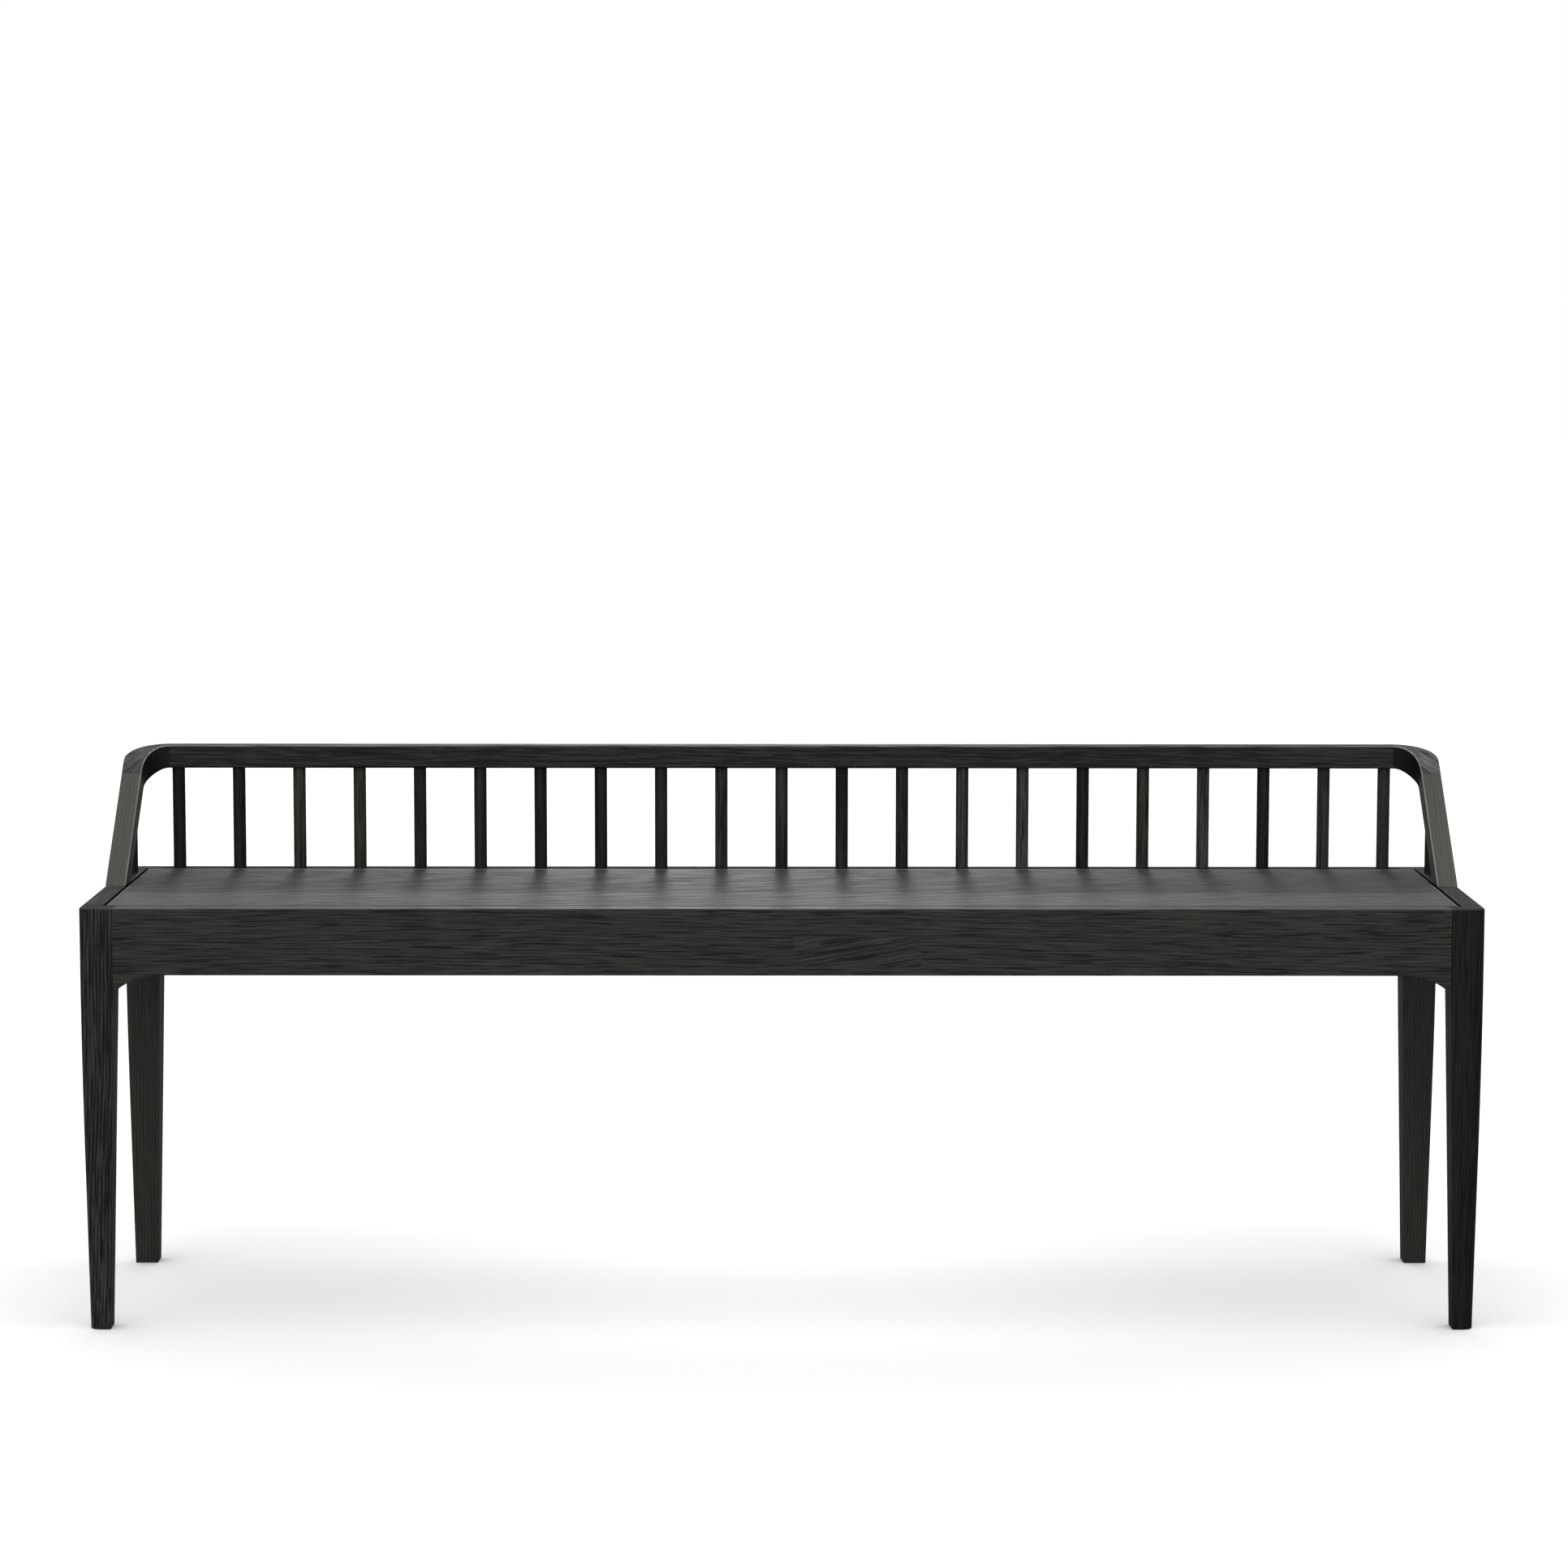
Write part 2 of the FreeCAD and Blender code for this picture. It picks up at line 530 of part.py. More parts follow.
# Seat. Three boards lie edge to edge with tongues between them, and rest on battens along the rails,
# on the notches in the legs and on three cross bearers.
BOARD_NAMES = ["seat_board_front", "seat_board_middle", "seat_board_back"]
SEAT_FRONT = "(0 - bench_depth / 2 + rail_thickness + panel_front_gap)"
SEAT_WIDTH = "(bench_depth - 2 * rail_thickness - panel_front_gap - panel_back_gap)"
BOARD_WIDTH = "(" + SEAT_WIDTH + " / %d)" % len(BOARD_NAMES)
END_SEAT_SCREW_SPAN = "(" + BOARD_WIDTH + " - 2 * end_seat_screw_inset)"
SEAT_HALF_LENGTH = "(bench_length / 2 - rail_thickness - panel_end_gap)"


def make_seat_board(index):
    body = new_body(BOARD_NAMES[index])
    front = "(" + SEAT_FRONT + " + %d * " % index + BOARD_WIDTH + ")"
    back = "(" + SEAT_FRONT + " + %d * " % (index + 1) + BOARD_WIDTH + ")"
    middle = "(seat_height - panel_thickness / 2)"
    corners = [(front, PANEL_UNDERSIDE), (back, PANEL_UNDERSIDE)]
    if index < len(BOARD_NAMES) - 1:
        corners += [
            (back, middle + " - tongue_thickness / 2"),
            (back + " + tongue_length", middle + " - tongue_thickness / 2"),
            (back + " + tongue_length", middle + " + tongue_thickness / 2"),
            (back, middle + " + tongue_thickness / 2"),
        ]
    corners += [(back, "seat_height"), (front, "seat_height")]
    if index > 0:
        groove_end = front + " + tongue_length + tenon_clearance"
        corners += [
            (front, middle + " + tongue_thickness / 2 + tenon_clearance"),
            (groove_end, middle + " + tongue_thickness / 2 + tenon_clearance"),
            (groove_end, middle + " - tongue_thickness / 2 - tenon_clearance"),
            (front, middle + " - tongue_thickness / 2 - tenon_clearance"),
        ]
    section = outline(sketch_on(body, "YZ", "0 - " + SEAT_HALF_LENGTH), corners)
    pad(body, section, "2 * " + SEAT_HALF_LENGTH)
    outer_edge = number({0: front, len(BOARD_NAMES) - 1: back}.get(index, "0"))
    top = number("seat_height")
    crosswise, lengthwise = FreeCAD.Vector(0, 1, 0), FreeCAD.Vector(1, 0, 0)
    tolerance = number("panel_edge_radius")

    def is_shown_edge(edge):
        centre = edge.CenterOfMass
        at_an_end = runs_along(edge, crosswise)
        at_the_outside = runs_along(edge, lengthwise) and abs(centre.y - outer_edge) < tolerance
        return abs(centre.z - top) < tolerance and (at_an_end or at_the_outside)

    ease(body, "panel_edge_radius", is_shown_edge)

    under = PANEL_UNDERSIDE + " - cut_overrun"
    radius = "screw_diameter / 2 + screw_clearance"
    depth = "screw_reach + mortise_gap + cut_overrun"
    if index == 1:
        x = INNER_CLEAT_X + " + cleat_width / 2"
        holes = [(side + "(" + x + ")", end + END_SEAT_SCREW_SPAN + " / 2")
                 for side in ("0 - ", "0 + ") for end in ("0 - ", "0 + ")]
        pocket(body, circles(sketch_on(body, "XY", under), holes, radius), depth, 1)
    else:
        y = ("0 - " if index == 0 else "0 + ") + "(" + INNER_CLEAT_Y + " + cleat_width / 2)"
        hole = circles(sketch_on(body, "XY", under), [("0 - " + SEAT_SCREW_SPAN + " / 2", y)], radius)
        repeat(body, pocket(body, hole, depth, 1), "X", SEAT_SCREW_SPAN, "seat_screw_count")


def make_long_cleat(name, end):
    body = new_body(name)
    y_sign = "%d * " % end
    half = "(" + RAIL_LENGTH_HALF + " - cleat_end_gap)"
    section = rectangle(sketch_on(body, "YZ", "0 - " + half), y_sign + INNER_CLEAT_Y, CLEAT_BOTTOM,
                        y_sign + INNER_RAIL_Y, PANEL_UNDERSIDE)
    pad(body, section, "2 * " + half)
    rail_sketch = sketch_on(body, "YZ", "0 - " + RAIL_SCREW_SPAN + " / 2", "0", CLEAT_MIDDLE)
    cut = screw_hole(body, rail_sketch, "H_Axis", y_sign + INNER_CLEAT_Y, end)
    repeat(body, cut, "X", RAIL_SCREW_SPAN, "rail_screw_count")
    seat_sketch = sketch_on(body, "XZ", y_sign + "(" + INNER_CLEAT_Y + " + cleat_width / 2)",
                            "0 - " + SEAT_SCREW_SPAN + " / 2")
    cut = screw_hole(body, seat_sketch, "V_Axis", CLEAT_BOTTOM, 1)
    repeat(body, cut, "X", SEAT_SCREW_SPAN, "seat_screw_count")


def make_end_cleat(name, side):
    body = new_body(name)
    x_sign = "%d * " % side
    half = "(" + RAIL_DEPTH_HALF + " - cleat_end_gap)"
    section = rectangle(sketch_on(body, "XZ", "0 - " + half), x_sign + INNER_CLEAT_X, CLEAT_BOTTOM,
                        x_sign + INNER_RAIL_X, PANEL_UNDERSIDE)
    pad(body, section, "2 * " + half)
    rail_sketch = sketch_on(body, "XZ", "0 - " + END_RAIL_SCREW_SPAN + " / 2", "0", CLEAT_MIDDLE)
    cut = screw_hole(body, rail_sketch, "H_Axis", x_sign + INNER_CLEAT_X, side)
    repeat(body, cut, "Y", END_RAIL_SCREW_SPAN, "2")
    seat_sketch = sketch_on(body, "XZ", "0 - " + END_SEAT_SCREW_SPAN + " / 2",
                            x_sign + "(" + INNER_CLEAT_X + " + cleat_width / 2)")
    cut = screw_hole(body, seat_sketch, "V_Axis", CLEAT_BOTTOM, 1)
    repeat(body, cut, "Y", END_SEAT_SCREW_SPAN, "2")


def make_bearer(name, index):
    body = new_body(name)
    centre = "(0 - " + BEARER_SPAN + " / 2 + %d * " % index + BEARER_SPAN + " / (bearer_count - 1))"
    middle = "(" + CLEAT_BOTTOM + " + " + BEARER_BOTTOM + ") / 2"
    right = [
        (INNER_RAIL_Y, BEARER_BOTTOM),
        (INNER_RAIL_Y, middle + " - bearer_tenon_height / 2"),
        (INNER_RAIL_Y + " + bearer_tenon_length", middle + " - bearer_tenon_height / 2"),
        (INNER_RAIL_Y + " + bearer_tenon_length", middle + " + bearer_tenon_height / 2"),
        (INNER_RAIL_Y, middle + " + bearer_tenon_height / 2"),
        (INNER_RAIL_Y, CLEAT_BOTTOM),
        (INNER_CLEAT_Y, CLEAT_BOTTOM),
        (INNER_CLEAT_Y, PANEL_UNDERSIDE),
    ]
    left = [("0 - (" + y + ")", z) for y, z in reversed(right)]
    section = outline(sketch_on(body, "YZ", centre + " - bearer_width / 2"), right + left)
    pad(body, section, "bearer_width")


# Back. Round spindles with a turned peg at each end stand in the back rail and hold up the crest.
def make_spindle(name, index):
    body = new_body(name)
    x = "(%d / (spindle_count - 1) - 1 / 2) * " % index + SPINDLE_SPAN
    half_outline = outline(sketch_on(body, "XZ", HOOP_Y, x), [
        ("0", "seat_height - foot_peg_length"),
        ("peg_diameter / 2 - peg_chamfer", "seat_height - foot_peg_length"),
        ("peg_diameter / 2", "seat_height - foot_peg_length + peg_chamfer"),
        ("peg_diameter / 2", "seat_height"),
        ("spindle_diameter / 2", "seat_height"),
        ("spindle_diameter / 2", CREST_UNDERSIDE),
        ("peg_diameter / 2", CREST_UNDERSIDE),
        ("peg_diameter / 2", CREST_UNDERSIDE + " + head_peg_length - peg_chamfer"),
        ("peg_diameter / 2 - peg_chamfer", CREST_UNDERSIDE + " + head_peg_length"),
        ("0", CREST_UNDERSIDE + " + head_peg_length"),
    ])
    turned(body, half_outline, "V_Axis")


# The spindle behind each arm ends in a slanted shoulder that fits the arm's underside.
def make_side_spindle(name, side):
    body = new_body(name)
    x = "%d * " % side + HOOP_X
    slant = "(spindle_diameter / 2 * " + SLOPE_SINE + " / " + SLOPE_COSINE + ")"
    half_outline = outline(sketch_on(body, "XZ", SIDE_SPINDLE_Y, x), [
        ("0", "seat_height - foot_peg_length"),
        ("peg_diameter / 2 - peg_chamfer", "seat_height - foot_peg_length"),
        ("peg_diameter / 2", "seat_height - foot_peg_length + peg_chamfer"),
        ("peg_diameter / 2", "seat_height"),
        ("spindle_diameter / 2", "seat_height"),
        ("spindle_diameter / 2", ARM_UNDER_SPINDLE + " + " + slant),
        ("0", ARM_UNDER_SPINDLE + " + " + slant),
    ])
    turned(body, half_outline, "V_Axis")
    low_y = SIDE_SPINDLE_Y + " - spindle_diameter"
    high_y = SIDE_SPINDLE_Y + " + spindle_diameter"
    above_arm = outline(sketch_on(body, "YZ", "%d * " % side + "(" + HOOP_X + " + spindle_diameter)"), [
        (low_y, ARM_UNDER_SPINDLE + " - 2 * " + slant),
        (high_y, ARM_UNDER_SPINDLE + " + 2 * " + slant),
        (low_y, ARM_UNDER_SPINDLE + " + 2 * " + slant),
    ])
    pocket(body, above_arm, "2 * spindle_diameter", -side)
    peg = circles(sketch_on(body, "XY", ARM_UNDER_SPINDLE + " - 2 * " + slant),
                  [(x, SIDE_SPINDLE_Y)], "peg_diameter / 2")
    pad(body, peg, "2 * " + slant + " + head_peg_length")


def make_crest(name):
    body = new_body(name)
    section = rectangle(sketch_on(body, "YZ", "0 - " + CREST_END), HALF_DEPTH + " - hoop_width",
                        CREST_UNDERSIDE, HALF_DEPTH, "bench_height")
    pad(body, section, "2 * " + CREST_END)
    lengthwise = FreeCAD.Vector(1, 0, 0)
    ease(body, "hoop_edge_radius", lambda edge: runs_along(edge, lengthwise))
    socket = circles(sketch_on(body, "XY", CREST_UNDERSIDE + " - cut_overrun"),
                     [("0 - " + SPINDLE_SPAN + " / 2", HOOP_Y)], "peg_diameter / 2 + peg_clearance")
    cut = pocket(body, socket, "head_peg_length + mortise_gap + cut_overrun", 1)
    repeat(body, cut, "X", SPINDLE_SPAN, "spindle_count")
    for side in (-1, 1):
        dowels = circles(sketch_on(body, "YZ", "%d * (" % side + CREST_END + " + cut_overrun)"), [
            (HOOP_Y + " - dowel_spacing / 2", CREST_DOWEL_Z),
            (HOOP_Y + " + dowel_spacing / 2", CREST_DOWEL_Z),
        ], "dowel_diameter / 2 + peg_clearance")
        pocket(body, dowels, "dowel_length / 2 + mortise_gap + cut_overrun", -side)


def make_arm(name, side):
    body = new_body(name)
    x_sign = "%d * " % side
    side_view = outline(sketch_on(body, "YZ", x_sign + HALF_LENGTH), [
        (ARM_TOE_Y, "seat_height"),
        (ARM_END_Y + " - " + HALF_RUN, ARM_END_Z + " + " + HALF_RISE),
        (ARM_END_Y + " + " + HALF_RUN, ARM_END_Z + " - " + HALF_RISE),
        (ARM_HEEL_Y, "seat_height"),
    ])
    pad(body, side_view, "hoop_width", -side)
    slope = slope_angle()
    up_the_slope = FreeCAD.Vector(0, math.cos(slope), math.sin(slope))
    ease(body, "hoop_edge_radius", lambda edge: runs_along(edge, up_the_slope))
    foot = circles(sketch_on(body, "XY", "seat_height - cut_overrun"), [
        (x_sign + "(" + HOOP_X + " - dowel_spacing / 2)", ARM_DOWEL_Y),
        (x_sign + "(" + HOOP_X + " + dowel_spacing / 2)", ARM_DOWEL_Y),
    ], "dowel_diameter / 2 + peg_clearance")
    pocket(body, foot, "dowel_length / 2 + mortise_gap + cut_overrun", 1)
    peg = circles(sketch_on(body, "XY", "seat_height"), [(x_sign + HOOP_X, SIDE_SPINDLE_Y)],
                  "peg_diameter / 2 + peg_clearance")
    pocket(body, peg, ARM_UNDER_SPINDLE + " - seat_height + head_peg_length + mortise_gap", 1)
    for offset in ("0 - ", "0 + "):
        hole = body.newObject("PartDesign::SubtractiveCylinder", name + "_dowel_hole")
        tie(hole, "Radius", "dowel_diameter / 2 + peg_clearance")
        tie(hole, "Height", "dowel_length / 2 + mortise_gap + cut_overrun")
        hole.AttachmentSupport = (origin_part(body, "XY_Plane"), [""])
        hole.MapMode = "FlatFace"
        tie(hole, "AttachmentOffset.Base.x", x_sign + HOOP_X + " + " + offset + "dowel_spacing / 2")
        tie(hole, "AttachmentOffset.Base.y", ARM_END_Y + " + cut_overrun * " + SLOPE_COSINE)
        tie(hole, "AttachmentOffset.Base.z", ARM_END_Z + " + cut_overrun * " + SLOPE_SINE)
        hole.AttachmentOffset = FreeCAD.Placement(
            hole.AttachmentOffset.Base, FreeCAD.Rotation(FreeCAD.Vector(0, 0, 1), -up_the_slope))


# Corner block, the piece that takes the most skill. Its centre line is a quarter circle in the plane
# that the arm and the crest share, which leans with the arm. Along it the section rolls by the arm's
# slope, so that the arm's top face becomes the crest's level top face without a step.
CORNER_SECTIONS = 13


def corner_frame(side, share):
    """Middle, tangent, inward and upward directions of the corner's section at a share of the bend."""
    slope = slope_angle()
    bend = number("hoop_bend_radius")
    up_slope = FreeCAD.Vector(0, math.cos(slope), math.sin(slope))
    inward = FreeCAD.Vector(-side, 0, 0)
    square_up = FreeCAD.Vector(0, -math.sin(slope), math.cos(slope))
    meeting = FreeCAD.Vector(side * number(HOOP_X), number(HOOP_Y), number(HOOP_Z))
    centre = meeting + (inward - up_slope) * bend
    angle = math.pi / 2 * share
    to_centre = inward * math.cos(angle) - up_slope * math.sin(angle)
    tangent = up_slope * math.cos(angle) + inward * math.sin(angle)
    roll = slope * share ** 2 * (3 - 2 * share)
    section_in = to_centre * math.cos(roll) + square_up * math.sin(roll)
    section_up = square_up * math.cos(roll) - to_centre * math.sin(roll)
    return centre - to_centre * bend, tangent, section_in, section_up


def outside_reach(share):
    """From the centre of the bend to the hoop's outside: a square corner rounded with its own radius."""
    angle = math.pi / 2 * share
    reach = number("hoop_bend_radius + hoop_width / 2")
    radius = number("hoop_outside_radius")
    straight = reach - radius
    if reach * math.sin(angle) <= straight * math.cos(angle):
        return reach / math.cos(angle)
    if reach * math.cos(angle) <= straight * math.sin(angle):
        return reach / math.sin(angle)
    halfway = straight * (math.cos(angle) + math.sin(angle))
    return halfway + math.sqrt(halfway ** 2 - 2 * straight ** 2 + radius ** 2)


def corner_section(side, share):
    """The hoop's section, a rectangle with eased corners, at a share of the bend."""
    middle, tangent, inward, upward = corner_frame(side, share)
    inside, height = number("hoop_width / 2"), number("hoop_thickness / 2")
    outside = outside_reach(share) - number("hoop_bend_radius")
    easing = number("hoop_edge_radius")
    diagonal = easing * (1 - math.sqrt(0.5))

    def at(across, up):
        return middle + inward * across + upward * up

    edges = []
    for x, y, turn in ((1, 1, 0), (-1, 1, 1), (-1, -1, 0), (1, -1, 1)):
        width = inside if x > 0 else outside
        from_side = at(x * width, y * (height - easing))
        from_top = at(x * (width - easing), y * height)
        across = at(x * (width - diagonal), y * (height - diagonal))
        start, finish = (from_side, from_top) if turn == 0 else (from_top, from_side)
        edges.append((start, across, finish))
    wire_edges = []
    for index, (start, across, finish) in enumerate(edges):
        wire_edges.append(Part.Arc(start, across, finish).toShape())
        wire_edges.append(Part.LineSegment(finish, edges[(index + 1) % len(edges)][0]).toShape())
    return Part.Wire(wire_edges)


def make_corner_block(name, side):
    shares = [index / (CORNER_SECTIONS - 1) for index in range(CORNER_SECTIONS)]
    block = Part.makeLoft([corner_section(side, share) for share in shares], True, False)
    # Its outside is planed flush with the arm's side and the crest's back.
    length, depth = number(HALF_LENGTH), number(HALF_DEPTH)
    low_corner = FreeCAD.Vector(min(0, side * length), 0, number("seat_height"))
    block = block.common(Part.makeBox(length, depth, number("bench_height - seat_height"), low_corner))
    radius = number("dowel_diameter / 2 + peg_clearance")
    overrun = number("cut_overrun")
    depth = number("dowel_length / 2 + mortise_gap")
    half_gap = number("dowel_spacing / 2")
    arm_end, arm_tangent, arm_in = corner_frame(side, 0)[:3]
    crest_end, crest_tangent, crest_in, crest_up = corner_frame(side, 1)
    lift = number(CREST_DOWEL_Z + " - " + HOOP_Z)
    for offset in (-half_gap, half_gap):
        foot = arm_end + arm_in * offset - arm_tangent * overrun
        block = block.cut(Part.makeCylinder(radius, depth + overrun, foot, arm_tangent))
        head = crest_end + crest_in * offset + crest_up * lift + crest_tangent * overrun
        block = block.cut(Part.makeCylinder(radius, depth + overrun, head, -crest_tangent))
    piece = doc.addObject("Part::Feature", name)
    piece.Label = name
    piece.Shape = block
    nodes.append(piece)


# Loose pegs and screws. Alike ones share a node, each as a solid of its own.
def make_dowel(name, radius, length, x, y, z, direction):
    """A plain dowel or shank whose foot is at x, y, z and which points along a direction."""
    dowel = doc.addObject("Part::Cylinder", name)
    tie(dowel, "Radius", radius)
    tie(dowel, "Height", length)
    dowel.Placement = FreeCAD.Placement(
        FreeCAD.Vector(0, 0, 0), FreeCAD.Rotation(FreeCAD.Vector(0, 0, 1), direction))
    tie(dowel, "Placement.Base.x", x)
    tie(dowel, "Placement.Base.y", y)
    tie(dowel, "Placement.Base.z", z)
    return dowel


def make_screw(name, x, y, z, direction):
    """A countersunk screw whose head's face is at x, y, z."""
    length = "cleat_width + screw_reach"
    shank = make_dowel(name + "_shank", "screw_diameter / 2", length, x, y, z, direction)
    head = doc.addObject("Part::Cone", name + "_head")
    tie(head, "Radius1", "screw_head_diameter / 2")
    tie(head, "Radius2", "screw_diameter / 2")
    tie(head, "Height", "screw_head_height")
    head.Placement = shank.Placement
    tie(head, "Placement.Base.x", x)
    tie(head, "Placement.Base.y", y)
    tie(head, "Placement.Base.z", z)
    screw = doc.addObject("Part::Fuse", name)
    screw.Base = shank
    screw.Tool = head
    return screw


def make_group(name, members):
    group = doc.addObject("Part::Compound", name)
    group.Label = name
    group.Links = members
    nodes.append(group)


def make_hoop_dowels():
    slope = slope_angle()
    up_slope = FreeCAD.Vector(0, math.cos(slope), math.sin(slope))
    radius, length = "dowel_diameter / 2", "dowel_length"
    crest, arm, foot = [], [], []
    for side in (-1, 1):
        sign = "%d * " % side
        for step in ("0 - ", "0 + "):
            tag = "_%d" % len(crest)
            beside = "(" + HOOP_X + " + " + step + "dowel_spacing / 2)"
            crest.append(make_dowel(
                "crest_dowel" + tag, radius, length, sign + "(" + CREST_END + " - dowel_length / 2)",
                HOOP_Y + " + " + step + "dowel_spacing / 2", CREST_DOWEL_Z, FreeCAD.Vector(side, 0, 0)))
            arm.append(make_dowel(
                "arm_dowel" + tag, radius, length, sign + beside,
                ARM_END_Y + " - dowel_length / 2 * " + SLOPE_COSINE,
                ARM_END_Z + " - dowel_length / 2 * " + SLOPE_SINE, up_slope))
            foot.append(make_dowel(
                "foot_dowel" + tag, radius, length, sign + beside, ARM_DOWEL_Y,
                "seat_height - dowel_length / 2", FreeCAD.Vector(0, 0, 1)))
    make_group("crest_corner_dowels", crest)
    make_group("arm_corner_dowels", arm)
    make_group("arm_foot_dowels", foot)


def make_seat_screws():
    into_rail, into_seat = [], []
    upward = FreeCAD.Vector(0, 0, 1)
    for end in (-1, 1):
        sign = "%d * " % end
        middle_y = sign + "(" + INNER_CLEAT_Y + " + cleat_width / 2)"
        for index in range(int(number("rail_screw_count"))):
            x = "(%d / (rail_screw_count - 1) - 1 / 2) * " % index + RAIL_SCREW_SPAN
            into_rail.append(make_screw(
                "rail_screw", x, sign + INNER_CLEAT_Y, CLEAT_MIDDLE, FreeCAD.Vector(0, end, 0)))
        for index in range(int(number("seat_screw_count"))):
            x = "(%d / (seat_screw_count - 1) - 1 / 2) * " % index + SEAT_SCREW_SPAN
            into_seat.append(make_screw("seat_screw", x, middle_y, CLEAT_BOTTOM, upward))
        for side in (-1, 1):
            across = "%d * " % side
            into_rail.append(make_screw(
                "rail_screw", across + INNER_CLEAT_X, sign + END_RAIL_SCREW_SPAN + " / 2", CLEAT_MIDDLE,
                FreeCAD.Vector(side, 0, 0)))
            into_seat.append(make_screw(
                "seat_screw", across + "(" + INNER_CLEAT_X + " + cleat_width / 2)",
                sign + END_SEAT_SCREW_SPAN + " / 2", CLEAT_BOTTOM, upward))
    make_group("cleat_rail_screws", into_rail)
    make_group("cleat_seat_screws", into_seat)


for end_name, end in (("front", -1), ("back", 1)):
    for side_name, side in (("left", -1), ("right", 1)):
        make_leg("%s_%s_leg" % (end_name, side_name), side, end)
make_long_rail("front_rail", -1)
make_back_rail("back_rail")
for index in range(len(BOARD_NAMES)):
    make_seat_board(index)
make_long_cleat("front_cleat", -1)
make_long_cleat("back_cleat", 1)
for index in range(int(number("bearer_count"))):
    make_bearer("cross_bearer_%d" % (index + 1), index)
for index in range(int(number("spindle_count"))):
    make_spindle("back_spindle_%02d" % (index + 1), index)
make_crest("crest_rail")
for side_name, side in (("left", -1), ("right", 1)):
    make_side_rail(side_name + "_side_rail", side)
    make_end_cleat(side_name + "_end_cleat", side)
    make_side_spindle(side_name + "_side_spindle", side)
    make_arm(side_name + "_arm", side)
    make_corner_block(side_name + "_corner_block", side)
make_hoop_dowels()
make_seat_screws()
doc.recompute()

# Every object must have built, every cut must have cut, and every piece must be a valid solid.
LEFT_BY_A_CUT_SHARE = 0.999999
for item in doc.Objects:
    if "Invalid" in item.State or "Error" in item.State:
        raise RuntimeError("%s did not build" % item.Name)
    if item.TypeId in ("PartDesign::Pocket", "PartDesign::Groove"):
        if item.Shape.Volume > item.BaseFeature.Shape.Volume * LEFT_BY_A_CUT_SHARE:
            raise RuntimeError("%s cut nothing" % item.Name)
for piece in nodes:
    if piece.Shape.isNull() or not piece.Shape.isValid() or not piece.Shape.Solids:
        raise RuntimeError("%s is not a valid solid" % piece.Label)

os.makedirs("parts", exist_ok=True)
for piece in nodes:
    piece.Shape.exportStep("parts/%s.step" % piece.Label)
print("%d pieces written" % len(nodes))
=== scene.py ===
# %% [markdown]
# # A black spindle bench
#
# The bench stands in a pale studio. Its frame came from CAD as loose triangles, true in size but flat
# in shading. Here every piece that shows is modelled again with eased edges, in the same place, and
# gets black-stained oak with open pores. Pieces that hardly show keep their CAD mesh and get a finish.

import math

import bpy
from mathutils import Matrix, Vector


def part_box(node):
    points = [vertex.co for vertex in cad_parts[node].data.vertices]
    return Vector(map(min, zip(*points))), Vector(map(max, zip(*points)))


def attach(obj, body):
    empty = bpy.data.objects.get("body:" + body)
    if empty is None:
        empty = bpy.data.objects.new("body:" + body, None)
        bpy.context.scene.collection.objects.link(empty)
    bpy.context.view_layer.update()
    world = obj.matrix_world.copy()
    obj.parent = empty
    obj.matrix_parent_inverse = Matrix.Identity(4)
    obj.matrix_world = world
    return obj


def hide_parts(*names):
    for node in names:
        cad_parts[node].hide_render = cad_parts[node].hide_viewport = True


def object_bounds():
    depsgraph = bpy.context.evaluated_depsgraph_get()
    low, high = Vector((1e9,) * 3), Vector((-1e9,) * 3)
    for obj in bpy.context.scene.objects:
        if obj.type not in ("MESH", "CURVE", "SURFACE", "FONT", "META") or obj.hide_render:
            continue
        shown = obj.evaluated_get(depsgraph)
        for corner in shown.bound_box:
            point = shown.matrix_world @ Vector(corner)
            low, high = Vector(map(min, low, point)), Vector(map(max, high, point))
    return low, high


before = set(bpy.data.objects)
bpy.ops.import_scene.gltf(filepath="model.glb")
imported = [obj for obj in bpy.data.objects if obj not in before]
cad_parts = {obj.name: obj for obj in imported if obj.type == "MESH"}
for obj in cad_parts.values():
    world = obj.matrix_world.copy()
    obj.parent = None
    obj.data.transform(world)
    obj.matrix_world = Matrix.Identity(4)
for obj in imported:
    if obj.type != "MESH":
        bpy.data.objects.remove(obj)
cad_low, cad_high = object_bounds()
print("nodes:", len(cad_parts), "box:", [round(v, 4) for v in (*cad_low, *cad_high)])

# %% [markdown]
# ## Sizes
#
# The frame's boxes already hold the bench's main sizes, so they are read from there. What no box
# tells, such as the depth of a bracket or the taper of a leg, is written here once, in metres.

# %% Sizes that the frame gives
HALF_LENGTH = cad_high.x
HALF_DEPTH = cad_high.y
BENCH_TOP = cad_high.z
SEAT_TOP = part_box("seat_board_middle")[1][2]
LEG_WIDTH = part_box("front_right_leg")[1][0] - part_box("front_right_leg")[0][0]
BACK_LEG_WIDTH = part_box("back_right_leg")[1][0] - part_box("back_right_leg")[0][0]
LEG_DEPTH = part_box("front_right_leg")[1][1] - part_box("front_right_leg")[0][1]
CREST_LOW, CREST_HIGH = (Vector(corner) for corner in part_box("crest_rail"))
HOOP_WIDTH = CREST_HIGH.y - CREST_LOW.y
HOOP_THICKNESS = CREST_HIGH.z - CREST_LOW.z
ARM_LOW = Vector(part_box("right_arm")[0])
print("leg", round(LEG_WIDTH, 4), "x", round(LEG_DEPTH, 4), "seat at", round(SEAT_TOP, 4))

